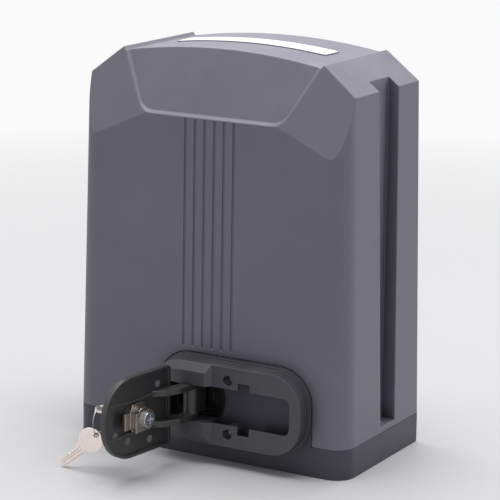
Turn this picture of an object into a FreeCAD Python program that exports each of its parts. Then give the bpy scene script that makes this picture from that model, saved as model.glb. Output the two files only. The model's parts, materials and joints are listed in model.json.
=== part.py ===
"""Sliding gate motor: cast base with gearcase, moulded cover, keyed release lever, pinion at the rear.

Millimetres.  +X runs along the front, +Y goes into the depth, +Z is up.  The origin is the middle
of the base's underside.  The release lever stands open, as it does when the gate is freed by hand.
"""
import FreeCAD, Part
import math
import os
import re
import Sketcher

Vector = FreeCAD.Vector
doc = FreeCAD.newDocument("SlidingGateMotor")

# ---------------------------------------------------------------- driving dimensions
DIMENSIONS = {
    # base casting
    "base_wide": 270, "base_deep": 138, "base_tall": 26, "base_round": 18,
    "tub_wall": 5, "tub_floor": 6,
    "anchor_apart_x": 216, "anchor_apart_y": 92, "anchor_slot": 24, "anchor_hole": 5.5,
    "cable_x": 84, "cable_y": 14, "cable_radius": 20,
    # gearcase in the base casting
    "case_left": -84, "case_right": 46, "case_front": -60, "case_rear": 52, "case_tall": 100,
    "axle_x": -5, "axle_z": 53.3,
    "wheel_room": 44, "wheel_room_front": -12,
    "worm_x": -54.5, "worm_y": 8, "worm_room": 17.5,
    "bore_radius": 24.5, "bore_deep": 34,
    # front tongue of the casting, which the cover fits round
    "tongue_left": -47, "tongue_right": 102.5, "tongue_top": 91.5, "tongue_round": 31,
    # cover
    "seam_gap": 0.4, "cover_top": 362, "side_draft": 0.023, "rear_draft": 0.0135, "wall": 3,
    "shoulder_out_x": 128.2, "shoulder_out_z": 322.3, "shoulder_in_x": 97, "shoulder_in_z": 346.4,
    "arch_x": 94.5, "arch_z": 343.6, "crown_z": 351.5,
    "facet_x": 65.6, "facet_z": 293.6, "facet_yaw": 7.05, "facet_tilt": 15.25,
    "panel_half": 67, "panel_z": 297.2, "panel_tilt": 19.2, "panel_sink": 2.95, "panel_tall": 75,
    "panel_lean": 0.5, "panel_round": 15, "border_wide": 5.7, "border_deep": 3,
    "channel_front": -11.9, "channel_rear": 26.2, "channel_low": 31.5, "channel_deep": 13,
    "channel_low_front": -3.9, "channel_low_rear": 23.6, "channel_lean": 0.0107,
    "groove_pitch": 9.4, "groove_wide": 2.5, "groove_low": 96.4, "groove_high": 293.5,
    "groove_sink": 0.9, "cutout_gap": 0.6, "rear_notch": 29,
    # name strip
    "cover_screw_x": 127, "cover_screw_y": 4,
    "strip_long": 145, "strip_wide": 23.5, "strip_y": 9.3, "strip_thick": 0.8,
    # release frame
    "frame_left": -44, "frame_right": 100.5, "frame_low": 18.3, "frame_high": 88.5,
    "frame_round": 28.5, "frame_proud": 17, "frame_skin": 3, "foot_out": 2, "foot_thick": 2,
    "plateau_right": 10.8, "plateau_proud": 22, "plateau_low": 25.5, "plateau_high": 81.4,
    "plateau_bevel": 4,
    "slot_left": -30, "slot_right": 90.2, "slot_low": 37, "slot_high": 69.5, "slot_round": 7,
    "notch_left": 40.5, "notch_right": 51.8, "notch_low": 29.8, "notch_high": 76,
    "frame_screw_x": 30.6, "frame_screw_low": 29.3, "frame_screw_high": 76.7, "screw_well": 4.5,
    # lever, given as it lies when closed
    "pin_x": -7.5, "pin_out": 13, "pin_radius": 3, "open_angle": 98,
    "lever_left": 15.2, "lever_right": 99.5, "lever_low": 18.6, "lever_high": 88.2,
    "lever_round": 33, "lever_plate": 3, "lever_rim": 5, "rim_wide": 2.6, "rib_wide": 1.6, "rib_tall": 1.8,
    "arm_z": 13.5, "arm_thick": 5, "barrel_radius": 7, "nose_reach": 13, "nose_radius": 5,
    "lock_x": 60, "lock_z": 53.3, "lock_radius": 9.5, "plug_radius": 6,
    # keys: flat, with a round bow; the spare one hangs from the ring and leans on the floor
    "bow_radius": 11, "key_long": 34.8, "key_thick": 1.8, "blade_half": 4, "key_hole": 2.4,
    "key_hole_back": 7.2, "bow_out": 48, "ring_radius": 11.6, "wire_radius": 0.5,
    "ring_x": -57.5, "ring_y": -149.6, "ring_z": 43.8,
    # release pusher and clutch
    "pusher_radius": 22, "pusher_front": -63.15, "pusher_thick": 6, "stem_radius": 7,
    "clutch_travel": 4.5, "rod_radius": 4, "rod_front": -34,
    # output shaft
    "journal": 10, "shaft_radius": 12, "shaft_front": -30, "shaft_rear": 103,
    "bearing_out": 21, "bearing_wide": 12,
    # gears
    "pinion_module": 4, "pinion_teeth": 16, "pinion_wide": 25, "pinion_y": 75,
    "worm_module": 2.5, "wheel_teeth": 30, "wheel_wide": 16, "worm_pitch_radius": 12,
    "worm_low": 30, "worm_tall": 46,
    # motor
    "stator_radius": 52, "rotor_radius": 29, "motor_low": 100, "motor_high": 200,
    "running": 0.05,
}

sheet = doc.addObject("Spreadsheet::Sheet", "Sizes")
for row, (alias, value) in enumerate(DIMENSIONS.items(), start=1):
    sheet.set("A%d" % row, alias)
    sheet.set("B%d" % row, str(value))
    sheet.setAlias("B%d" % row, alias)
doc.recompute()

ALIAS = re.compile(r"\b(%s)\b" % "|".join(sorted(DIMENSIONS, key=len, reverse=True)))


def formula(text):
    """The expression in which every alias is read from the sheet."""
    return ALIAS.sub(r"Sizes.\1", str(text))


def size(text):
    """The number that an expression has now."""
    return float(sheet.evalExpression(str(text)))


def bind(thing, **properties):
    """Tie properties such as Length to expressions of the sheet."""
    for name, text in properties.items():
        thing.setExpression(name, formula(text))
    return thing


def place(thing, x="0", y="0", z="0", turn=None):
    """Put a thing at a point given by expressions, after a fixed turn."""
    if turn is not None:
        thing.Placement = FreeCAD.Placement(Vector(), turn)
    for axis, text in zip("xyz", (x, y, z)):
        thing.setExpression(".Placement.Base." + axis, formula(text))
    return thing


ALONG_X = FreeCAD.Rotation(Vector(0, 1, 0), 90)
ALONG_Y = FreeCAD.Rotation(Vector(1, 0, 0), -90)
ALONG_Z = FreeCAD.Rotation()
AXES = {"X": ALONG_X, "Y": ALONG_Y, "Z": ALONG_Z}


# ---------------------------------------------------------------- Part workbench pieces
def cylinder(name, radius, height, x="0", y="0", z="0", axis="Z"):
    """A round bar that starts at a point and runs along an axis."""
    bar = bind(doc.addObject("Part::Cylinder", name), Radius=radius, Height=height)
    return place(bar, x, y, z, AXES[axis])


def box(name, x0, x1, y0, y1, z0, z1):
    """A block between two corners."""
    block = doc.addObject("Part::Box", name)
    bind(block, Length="(%s) - (%s)" % (x1, x0), Width="(%s) - (%s)" % (y1, y0),
         Height="(%s) - (%s)" % (z1, z0))
    return place(block, x0, y0, z0)


def fuse(name, *shapes):
    """Several shapes as one, or as a group where they stand apart."""
    group = doc.addObject("Part::MultiFuse", name)
    group.Shapes = list(shapes)
    return group


def cut(name, base, *tools):
    """The base less the tools."""
    result = doc.addObject("Part::Cut", name)
    result.Base = base
    result.Tool = tools[0] if len(tools) == 1 else fuse(name + "Tools", *tools)
    return result


def ring(name, outer, inner, height, x="0", y="0", z="0", axis="Z"):
    """A plain ring or tube."""
    return cut(name, cylinder(name + "Outer", outer, height, x, y, z, axis),
               cylinder(name + "Inner", inner, height, x, y, z, axis))


# ---------------------------------------------------------------- PartDesign pieces
def new_body(name):
    return doc.addObject("PartDesign::Body", name)


def origin_part(body, role):
    return [part for part in body.Origin.OriginFeatures if part.Role == role][0]


def draw(body, name, plane, loops, lift="0", turn=None, at=("0", "0")):
    """A sketch on one of the body's origin planes, with every point held to the sheet.

    A loop is ("circle", x, y, radius) or a list of corners (x, y) or (x, y, rounding radius).
    """
    sketch = body.newObject("Sketcher::SketchObject", name)
    sketch.AttachmentSupport = [(origin_part(body, plane), "")]
    sketch.MapMode = "FlatFace"
    if turn is not None:
        sketch.AttachmentOffset = FreeCAD.Placement(Vector(), turn)
    sketch.setExpression(".AttachmentOffset.Base.x", formula(at[0]))
    sketch.setExpression(".AttachmentOffset.Base.y", formula(at[1]))
    sketch.setExpression(".AttachmentOffset.Base.z", formula(lift))
    for loop in loops:
        if loop[0] == "circle":
            add_circle(sketch, *loop[1:])
        else:
            add_outline(sketch, loop)
    return sketch


def hold(sketch, kind, geometry, point, text):
    """Hold one coordinate of a sketch point to an expression."""
    number = sketch.addConstraint(Sketcher.Constraint(kind, -1, 1, geometry, point, size(text)))
    sketch.setExpression("Constraints[%d]" % number, formula(text))


def add_circle(sketch, x, y, radius):
    centre = Vector(size(x), size(y), 0)
    index = sketch.addGeometry(Part.Circle(centre, Vector(0, 0, 1), size(radius)), False)
    hold(sketch, "DistanceX", index, 3, x)
    hold(sketch, "DistanceY", index, 3, y)
    number = sketch.addConstraint(Sketcher.Constraint("Radius", index, size(radius)))
    sketch.setExpression("Constraints[%d]" % number, formula(radius))


def add_outline(sketch, corners):
    """A closed outline.  A third value rounds the corner, a fourth bends the side that follows it.

    A bent side is an arc of the fourth value's radius, to the right of the way it runs when that
    value is positive and to the left when it is negative.
    """
    points = [Vector(size(corner[0]), size(corner[1]), 0) for corner in corners]
    radii = [size(corner[2]) if len(corner) > 2 else 0 for corner in corners]
    count = len(points)
    entries, exits = [], []
    for index, point in enumerate(points):
        back = (points[index - 1] - point).normalize()
        ahead = (points[(index + 1) % count] - point).normalize()
        trim = radii[index] / math.tan(back.getAngle(ahead) / 2) if radii[index] else 0
        entries.append(point + back * trim)
        exits.append(point + ahead * trim)
    sides = []
    for index, corner in enumerate(corners):
        start, end = exits[index], entries[(index + 1) % count]
        if len(corner) > 3:
            sides.append(add_bend(sketch, start, end, corner[3]))
        else:
            sides.append((sketch.addGeometry(Part.LineSegment(start, end), False), 1, 2))
    for index, corner in enumerate(corners):
        before, after = sides[index - 1], sides[index]
        if not radii[index]:
            sketch.addConstraint(Sketcher.Constraint("Coincident", before[0], before[2], after[0],
                                                     after[1]))
            hold(sketch, "DistanceX", after[0], after[1], corner[0])
            hold(sketch, "DistanceY", after[0], after[1], corner[1])
            continue
        add_rounding(sketch, corner, points[index], entries[index], exits[index], before[0], after[0])


def add_bend(sketch, start, end, radius):
    """An arc between two corners; gives its number and which of its ends comes first."""
    amount = size(radius)
    half = (end - start) * 0.5
    rightward = Vector(half.y, -half.x, 0).normalize() * math.copysign(1, amount)
    sagitta = abs(amount) - math.sqrt(amount * amount - half.Length ** 2)
    middle = start + half + rightward * sagitta
    index = sketch.addGeometry(Part.Arc(start, middle, end), False)
    number = sketch.addConstraint(Sketcher.Constraint("Radius", index, abs(amount)))
    sketch.setExpression("Constraints[%d]" % number, formula("abs(%s)" % radius))
    return (index, 1, 2) if amount > 0 else (index, 2, 1)


def add_rounding(sketch, corner, point, entry, leave, before, after):
    """A tangent arc between two sides that still aim at the sharp corner, held as a point."""
    back, ahead = entry - point, leave - point
    mark = sketch.addGeometry(Part.Point(point), True)
    hold(sketch, "DistanceX", mark, 1, corner[0])
    hold(sketch, "DistanceY", mark, 1, corner[1])
    sketch.addConstraint(Sketcher.Constraint("PointOnObject", mark, 1, before))
    sketch.addConstraint(Sketcher.Constraint("PointOnObject", mark, 1, after))
    inward = (back + ahead).normalize()
    radius = size(corner[2])
    centre = point + inward * math.hypot(back.Length, radius)
    middle = centre - inward * radius
    arc = sketch.addGeometry(Part.Arc(entry, middle, leave), False)
    turns_left = back.cross(ahead).z < 0
    first, last = (1, 2) if turns_left else (2, 1)
    sketch.addConstraint(Sketcher.Constraint("Tangent", before, 2, arc, first))
    sketch.addConstraint(Sketcher.Constraint("Tangent", arc, last, after, 1))
    number = sketch.addConstraint(Sketcher.Constraint("Radius", arc, radius))
    sketch.setExpression("Constraints[%d]" % number, formula(corner[2]))


def rectangle(x0, y0, x1, y1, radius=None):
    corners = [(x0, y0), (x1, y0), (x1, y1), (x0, y1)]
    return corners if radius is None else [corner + (radius,) for corner in corners]


def front_rounded(x0, y0, x1, y1, radius):
    """A plan whose two front corners are rounded and whose rear corners are square."""
    return [(x0, y0, radius), (x1, y0, radius), (x1, y1), (x0, y1)]


def pad(body, name, sketch, length, both=False, backward=False):
    feature = body.newObject("PartDesign::Pad", name)
    feature.Profile = sketch
    feature.SideType = "Symmetric" if both else "One side"
    feature.Reversed = backward
    return bind(feature, Length=length)


def pocket(body, name, sketch, length, both=False, backward=False):
    feature = body.newObject("PartDesign::Pocket", name)
    feature.Profile = sketch
    feature.SideType = "Symmetric" if both else "One side"
    feature.Reversed = backward
    return bind(feature, Length=length)


def swing_open(thing):
    """Turn a piece about the hinge pin from the closed place to the open one."""
    thing.setExpression(".Placement.Rotation.Axis.z", "-1")
    thing.setExpression(".Placement.Rotation.Angle", formula("open_angle * 1 deg"))
    pin_y = "(-base_deep / 2 - pin_out)"
    cosine, sine = "cos(open_angle * 1 deg)", "sin(open_angle * 1 deg)"
    place_x = "pin_x - (pin_x * %s + %s * %s)" % (cosine, pin_y, sine)
    place_y = "%s - (%s * %s - pin_x * %s)" % (pin_y, pin_y, cosine, sine)
    thing.setExpression(".Placement.Base.x", formula(place_x))
    thing.setExpression(".Placement.Base.y", formula(place_y))
    return thing


nodes = {}


def node(name, thing):
    """Keep a finished piece under its file name."""
    thing.Label = name
    nodes[name] = thing
    return thing


FRONT = "-base_deep / 2"


# ---------------------------------------------------------------- base casting
def make_base():
    body = new_body("BaseCasting")
    plan = front_rounded("-base_wide / 2", FRONT, "base_wide / 2", "base_deep / 2", "base_round")
    pad(body, "BasePlate", draw(body, "BasePlan", "XY_Plane", [plan]), "base_tall")
    tub = front_rounded("-base_wide / 2 + tub_wall", FRONT + " + tub_wall",
                        "base_wide / 2 - tub_wall", "base_deep / 2 - tub_wall", "base_round - tub_wall")
    tub_sketch = draw(body, "TubPlan", "XY_Plane", [tub], lift="base_tall")
    pocket(body, "Tub", tub_sketch, "base_tall - tub_floor")
    case = rectangle("case_left", "case_front", "case_right", "case_rear")
    pad(body, "Gearcase", draw(body, "CasePlan", "XY_Plane", [case]), "case_tall")
    tongue = [("tongue_left", "0.5 * base_tall"), ("tongue_right", "0.5 * base_tall"),
              ("tongue_right", "tongue_top", "tongue_round"), ("tongue_left", "tongue_top", "tongue_round")]
    tongue_sketch = draw(body, "TongueFace", "XZ_Plane", [tongue], lift="base_deep / 2")
    pad(body, "Tongue", tongue_sketch, "base_deep / 2 + case_front + 1", backward=True)
    cut_round(body, "FrontBore", "bore_radius", "base_deep / 2", "bore_deep")
    cut_round(body, "FrontSeat", "bearing_out", "base_deep / 2 - bore_deep + 1",
              "wheel_room_front + base_deep / 2 - bore_deep + 1")
    cut_round(body, "WheelRoom", "wheel_room", "-wheel_room_front", "case_rear - wheel_room_front")
    well = draw(body, "WormPlan", "XY_Plane", [("circle", "worm_x", "worm_y", "worm_room")],
                lift="case_tall")
    pocket(body, "WormRoom", well, "case_tall - 15")
    seat = draw(body, "WormFoot", "XY_Plane", [("circle", "worm_x", "worm_y", "11")], lift="case_tall")
    pocket(body, "WormSeat", seat, "case_tall - 8")
    anchors = []
    for side_x in (-1, 1):
        for side_y in (-1, 1):
            anchors.append(anchor_slot("%d * anchor_apart_x / 2" % side_x,
                                       "%d * anchor_apart_y / 2" % side_y))
    anchor_sketch = draw(body, "AnchorPlan", "XY_Plane", anchors, lift="tub_floor")
    pocket(body, "AnchorSlots", anchor_sketch, "tub_floor + 1")
    cable = draw(body, "CablePlan", "XY_Plane", [("circle", "cable_x", "cable_y", "cable_radius")],
                 lift="tub_floor")
    pocket(body, "CablePassage", cable, "tub_floor + 1")
    posts = [("circle", "%d * cover_screw_x" % side, "cover_screw_y", "5") for side in (-1, 1)]
    pad(body, "CoverPosts", draw(body, "PostPlan", "XY_Plane", posts, lift="tub_floor"),
        "base_tall - tub_floor")
    taps = [("circle", "%d * cover_screw_x" % side, "cover_screw_y", "2") for side in (-1, 1)]
    pocket(body, "CoverTaps", draw(body, "TapPlan", "XY_Plane", taps, lift="base_tall"), "15")
    frame_taps = [("circle", "frame_screw_x", z, "2") for z in ("frame_screw_low", "frame_screw_high")]
    pocket(body, "FrameTaps", draw(body, "FrameTapFace", "XZ_Plane", frame_taps, lift="base_deep / 2"),
           "16")
    lid_taps = [("circle", x, z, "2.5") for x, z in LID_SCREWS]
    pocket(body, "LidTaps", draw(body, "LidTapFace", "XZ_Plane", lid_taps, lift="-case_rear"), "9",
           backward=True)
    return node("base_housing", body)


def anchor_slot(x, y):
    """A round-ended slot for an anchor bolt, which runs along X."""
    return rectangle("%s - anchor_slot / 2" % x, "%s - anchor_hole" % y,
                     "%s + anchor_slot / 2" % x, "%s + anchor_hole" % y, "anchor_hole - 0.001")


def cut_round(body, name, radius, start, depth):
    """A round pocket along the output axis; start counts towards the front from the middle."""
    sketch = draw(body, name + "Circle", "XZ_Plane", [("circle", "axle_x", "axle_z", radius)], lift=start)
    return pocket(body, name, sketch, depth)


# ---------------------------------------------------------------- cover
def make_cover():
    outside = cover_form("CoverOutside", "0")
    inside = cover_form("CoverInside", "wall")
    for number in range(6):
        add_groove(outside, number)
    shell = cut("CoverShell", outside, inside)
    window = new_body("CoverCutout")
    round_off = "tongue_round + cutout_gap"
    outline = [("tongue_left - cutout_gap", "0"), ("tongue_right + cutout_gap", "0"),
               ("tongue_right + cutout_gap", "tongue_top + cutout_gap", round_off),
               ("tongue_left - cutout_gap", "tongue_top + cutout_gap", round_off)]
    face = draw(window, "CutoutFace", "XZ_Plane", [outline], lift="base_deep / 2 + 1")
    pad(window, "CutoutBlock", face, "12", backward=True)
    notch = fuse("RearNotch",
                 cylinder("NotchRound", "rear_notch", "20", "axle_x", "base_deep / 2 - 15", "axle_z", "Y"),
                 box("NotchStraight", "axle_x - rear_notch", "axle_x + rear_notch",
                     "base_deep / 2 - 15", "base_deep / 2 + 5", "0", "axle_z"))
    screw_holes = [cylinder("CoverScrewHole%d" % number, "2.2", "10", "%d * cover_screw_x" % side,
                            "cover_screw_y", "base_tall") for number, side in enumerate((-1, 1))]
    return node("cover", cut("Cover", shell, window, notch, *screw_holes))


def cover_form(name, skin):
    """The cover's form, set in by a skin thickness: the shell is one form less another."""
    body = new_body(name)
    rise = "(cover_top - base_tall)"
    low = front_rounded("-base_wide / 2 + %s" % skin, FRONT + " + %s" % skin,
                        "base_wide / 2 - %s" % skin, "base_deep / 2 - 0.5 - %s" % skin,
                        "base_round - %s" % skin)
    half = "base_wide / 2 - side_draft * %s - %s" % (rise, skin)
    high = front_rounded("-(%s)" % half, FRONT + " + %s" % skin, half,
                         "base_deep / 2 - 0.5 - rear_draft * %s - %s" % (rise, skin),
                         "base_round - %s" % skin)
    foot = draw(body, name + "Foot", "XY_Plane", [low], lift="base_tall + seam_gap")
    head = draw(body, name + "Head", "XY_Plane", [high], lift="cover_top")
    loft = body.newObject("PartDesign::AdditiveLoft", name + "Walls")
    loft.Profile = foot
    loft.Sections = [head]
    loft.Ruled = True
    top = top_outline(skin)
    pocket(body, name + "Top", draw(body, name + "TopFace", "XZ_Plane", [top]), "3 * base_deep",
           both=True)
    for side in (-1, 1):
        cut_facet(body, name, side, skin)
    cut_panel(body, name, skin)
    for side in (-1, 1):
        cut_channel(body, name, side, skin)
    return body


def top_outline(skin):
    """Everything above the shoulders and the crowned top, which is cut away."""
    slope = "(shoulder_in_z - shoulder_out_z) / (shoulder_out_x - shoulder_in_x)"
    low_z = "shoulder_out_z - (base_wide / 2 - shoulder_out_x) * %s - %s" % (slope, skin)
    left = [("-arch_x", "arch_z - %s" % skin), ("-shoulder_in_x", "shoulder_in_z - %s" % skin),
            ("-base_wide / 2", low_z), ("-base_wide / 2", "cover_top + 5"),
            ("base_wide / 2", "cover_top + 5"),
            ("base_wide / 2", low_z), ("shoulder_in_x", "shoulder_in_z - %s" % skin)]
    return [("arch_x", "arch_z - %s" % skin, "0", CROWN_RADIUS)] + left


CROWN_RADIUS = "(arch_x * arch_x + (crown_z - arch_z) * (crown_z - arch_z)) / (2 * (crown_z - arch_z))"


def cut_facet(body, name, side, skin):
    """One of the two slanted corner facets above the front."""
    label = "%sFacet%s" % (name, "Right" if side > 0 else "Left")
    yaw = FreeCAD.Rotation(Vector(0, 1, 0), side * size("facet_yaw"))
    tilt = FreeCAD.Rotation(Vector(1, 0, 0), -size("facet_tilt"))
    turn = yaw.multiply(tilt)
    sketch = draw(body, label + "Plane", "XZ_Plane", [rectangle("-140", "-70", "140", "140")],
                  lift="base_deep / 2 - %s" % skin, turn=turn,
                  at=("%d * facet_x" % side, "facet_z - 0.2 * %s" % skin))
    return pocket(body, label, sketch, "60", backward=True)


def cut_panel(body, name, skin):
    """The sunk panel between the corner facets, with its slanted border: a U that opens upwards."""
    tilt = FreeCAD.Rotation(Vector(1, 0, 0), -size("panel_tilt"))
    def plan(label, grown, lift):
        return draw(body, name + label, "XZ_Plane", [panel_outline(grown)],
                    lift="base_deep / 2 - panel_sink - %s + %s" % (skin, lift), turn=tilt,
                    at=("0", "panel_z - 0.3 * %s + %s * tan(panel_tilt * 1 deg)" % (skin, lift)))
    pocket(body, name + "Panel", plan("PanelPlane", "0", "0"), "60", backward=True)
    border = body.newObject("PartDesign::SubtractiveLoft", name + "PanelBorder")
    border.Profile = plan("BorderFloor", "0", "0")
    border.Sections = [plan("BorderRim", "border_wide", "border_deep")]
    border.Ruled = True
    return border


def panel_outline(grown):
    """The panel's outline, grown by a width on its bottom and sides."""
    half = "panel_half + (sqrt(1 + panel_lean ^ 2) - panel_lean) * %s" % grown
    wide = "panel_half + panel_lean * panel_tall + sqrt(1 + panel_lean ^ 2) * %s" % grown
    low, turn = "-%s" % grown, "panel_round + %s" % grown
    return [("-(%s)" % half, low, turn), (half, low, turn), (wide, "panel_tall"),
            ("-(%s)" % wide, "panel_tall")]


def cut_channel(body, name, side, skin):
    """The upright channel in a side, which narrows downwards and is open at the shoulder."""
    label = "%sChannel%s" % (name, "Right" if side > 0 else "Left")
    outline = [("channel_low_front - %s" % skin, "channel_low - %s" % skin),
               ("channel_low_rear + %s" % skin, "channel_low - %s" % skin),
               ("channel_rear + %s" % skin, "cover_top"), ("channel_front - %s" % skin, "cover_top")]
    sketch = draw(body, label + "Face", "YZ_Plane", [outline],
                  lift="%d * (base_wide / 2 - channel_deep - %s)" % (side, skin),
                  turn=FreeCAD.Rotation(Vector(1, 0, 0),
                                        -side * math.degrees(math.atan(size("channel_lean")))))
    return pocket(body, label, sketch, "40", backward=side > 0)


def add_groove(body, number):
    """One of the six shallow grooves down the middle of the front."""
    centre = "groove_pitch * %.1f" % (number - 2.5)
    left, right = "%s - groove_wide / 2" % centre, "%s + groove_wide / 2" % centre
    round_end = "0.49 * groove_wide"
    outline = [(left, "groove_low", round_end), (right, "groove_low", round_end),
               (right, "groove_high"), (left, "groove_high")]
    sketch = draw(body, "GrooveFace%d" % number, "XZ_Plane", [outline], lift="base_deep / 2")
    pocket(body, "Groove%d" % number, sketch, "groove_sink")


# ---------------------------------------------------------------- cover fittings
def make_strip():
    """The bare name strip, bent to the crown of the cover's top."""
    body = new_body("NameStrip")
    half = "strip_long / 2"
    lift = "0.1"
    under = "(%s + %s)" % (CROWN_RADIUS, lift)
    over = "(%s + %s + strip_thick)" % (CROWN_RADIUS, lift)
    low_z, high_z = crown_height(half, under), crown_height(half, over)
    outline = [("-" + half, low_z, "0", "-" + under), (half, low_z), (half, high_z, "0", over),
               ("-" + half, high_z)]
    face = draw(body, "StripFace", "XZ_Plane", [outline], lift="-strip_y")
    pad(body, "Strip", face, "strip_wide", both=True)
    return node("name_strip", body)


def crown_height(x, radius):
    """The height, at a distance from the middle, of an arc about the crown's centre."""
    return "crown_z - %s + sqrt(%s * %s - (%s) * (%s))" % (CROWN_RADIUS, radius, radius, x, x)


def screw(name, x, y, z, head, head_tall, shank, long, axis="Y", sign=1):
    """A cross-head screw: its head starts at the point and its shank runs on from there."""
    if sign > 0:
        parts = [(head, head_tall, "0"), (shank, long, head_tall)]
    else:
        parts = [(head, head_tall, "-(%s)" % head_tall), (shank, long, "-(%s) - (%s)" % (head_tall, long))]
    bars = []
    for number, (radius, height, start) in enumerate(parts):
        spot = {"X": x, "Y": y, "Z": z}
        spot[axis] = "%s + %s" % (spot[axis], start)
        bars.append(cylinder("%sBar%d" % (name, number), radius, height, spot["X"], spot["Y"], spot["Z"],
                             axis))
    whole = fuse(name + "Solid", *bars)
    slots = []
    for number, turn in enumerate((0, 90)):
        blade = doc.addObject("Part::Box", "%sSlot%d" % (name, number))
        bind(blade, Length="%s * 1.1" % head, Width="%s * 0.22" % head, Height="1.6")
        blade.Placement = blade_placement(axis, sign, turn, size(head))
        for letter, text in zip("xyz", (x, y, z)):
            offset = getattr(blade.Placement.Base, letter)
            blade.setExpression(".Placement.Base." + letter, formula("%s + %.4f" % (text, offset)))
        slots.append(blade)
    return cut(name, whole, *slots)


def blade_placement(axis, sign, turn, head):
    """Where one blade of a cross recess lies, as seen from the screw's head."""
    to_axis = AXES[axis] if sign > 0 else AXES[axis].multiply(FreeCAD.Rotation(Vector(1, 0, 0), 180))
    spin = FreeCAD.Rotation(Vector(0, 0, 1), turn)
    corner = to_axis.multVec(spin.multVec(Vector(-0.55 * head, -0.11 * head, -0.2)))
    return FreeCAD.Placement(corner, to_axis.multiply(spin))


def make_cover_screws():
    screws = []
    for side in (-1, 1):
        screws.append(screw("CoverScrew%s" % ("Right" if side > 0 else "Left"),
                            "%d * cover_screw_x" % side, "cover_screw_y", "channel_low + 2.75",
                            "4", "2.6", "2", "channel_low - tub_floor - 6", "Z", -1))
    return node("cover_screws", fuse("CoverScrews", *screws))


# ---------------------------------------------------------------- release frame
def frame_outline(grow):
    """The release frame's outline, with its right end well rounded."""
    return [("frame_left - %s" % grow, "frame_low - %s" % grow, "frame_round + %s" % grow),
            ("frame_right + %s" % grow, "frame_low - %s" % grow, "frame_round + %s" % grow),
            ("frame_right + %s" % grow, "frame_high + %s" % grow, "frame_round + %s" % grow),
            ("frame_left - %s" % grow, "frame_high + %s" % grow, "frame_round + %s" % grow)]


def make_frame():
    body = new_body("ReleaseFrame")
    face = "base_deep / 2"
    pad(body, "FrameFoot", draw(body, "FootFace", "XZ_Plane", [frame_outline("foot_out")], lift=face),
        "foot_thick")
    pad(body, "FrameWall", draw(body, "WallFace", "XZ_Plane", [frame_outline("0")], lift=face),
        "frame_proud")
    low = plateau_outline("frame_left", "frame_low", "plateau_right + plateau_bevel", "frame_high",
                          "frame_round")
    high = plateau_outline("frame_left + 7", "plateau_low", "plateau_right", "plateau_high",
                           "frame_round - 7")
    foot = draw(body, "PlateauFoot", "XZ_Plane", [low], lift=face + " + frame_proud")
    head = draw(body, "PlateauHead", "XZ_Plane", [high], lift=face + " + plateau_proud")
    loft = body.newObject("PartDesign::AdditiveLoft", "Plateau")
    loft.Profile = foot
    loft.Sections = [head]
    loft.Ruled = True
    hollow = [("plateau_right + 2", "frame_low + frame_skin"),
              ("frame_right - frame_skin", "frame_low + frame_skin", "frame_round - frame_skin"),
              ("frame_right - frame_skin", "frame_high - frame_skin", "frame_round - frame_skin"),
              ("plateau_right + 2", "frame_high - frame_skin")]
    pocket(body, "FrameHollow", draw(body, "HollowFace", "XZ_Plane", [hollow], lift=face + " - 1"),
           "frame_proud - frame_skin + 1", backward=True)
    wells = [("circle", "frame_screw_x", "frame_screw_low", "screw_well + 2"),
             ("circle", "frame_screw_x", "frame_screw_high", "screw_well + 2")]
    pad(body, "ScrewBosses", draw(body, "BossFace", "XZ_Plane", wells, lift=face), "frame_proud")
    slot = [("slot_left", "slot_low"), ("slot_right", "slot_low", "slot_round"),
            ("slot_right", "slot_high", "slot_round"), ("slot_left", "slot_high")]
    through = "plateau_proud + 4"
    pocket(body, "FrameSlot", draw(body, "SlotFace", "XZ_Plane", [slot], lift=face + " - 1"), through,
           backward=True)
    notch = rectangle("notch_left", "notch_low", "notch_right", "notch_high")
    pocket(body, "FrameNotch", draw(body, "NotchFace", "XZ_Plane", [notch], lift=face + " + 6"), through,
           backward=True)
    for z in ("frame_screw_low", "frame_screw_high"):
        mouth = draw(body, "Well" + z[12:], "XZ_Plane", [("circle", "frame_screw_x", z, "screw_well")],
                     lift=face + " + 5")
        pocket(body, "ScrewWell" + z[12:], mouth, through, backward=True)
        bore = draw(body, "Bore" + z[12:], "XZ_Plane", [("circle", "frame_screw_x", z, "2.2")],
                    lift=face + " - 1")
        pocket(body, "ScrewBore" + z[12:], bore, "8", backward=True)
    pin = draw(body, "PinPlan", "XY_Plane", [("circle", "pin_x", FRONT + " - pin_out", "pin_radius")],
               lift="slot_high + 8")
    pocket(body, "PinBore", pin, "slot_high - slot_low + 16")
    return node("release_frame", body)


def plateau_outline(x0, z0, x1, z1, radius):
    return [(x0, z0, radius), (x1, z0), (x1, z1), (x0, z1, radius)]


def make_frame_fixings():
    screws = [screw("FrameScrew" + word, "frame_screw_x", FRONT + " - 8", "frame_screw_" + word,
                    "4", "3", "2", "17") for word in ("low", "high")]
    node("frame_screws", fuse("FrameScrews", *screws))
    node("hinge_pin", cylinder("HingePin", "pin_radius", "slot_high - slot_low + 16",
                               "pin_x", FRONT + " - pin_out", "slot_low - 8"))


# ---------------------------------------------------------------- lever and its lock
def outward(out):
    """The lift of a sketch that lies a distance in front of the front plane."""
    return "base_deep / 2 + " + out


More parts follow.
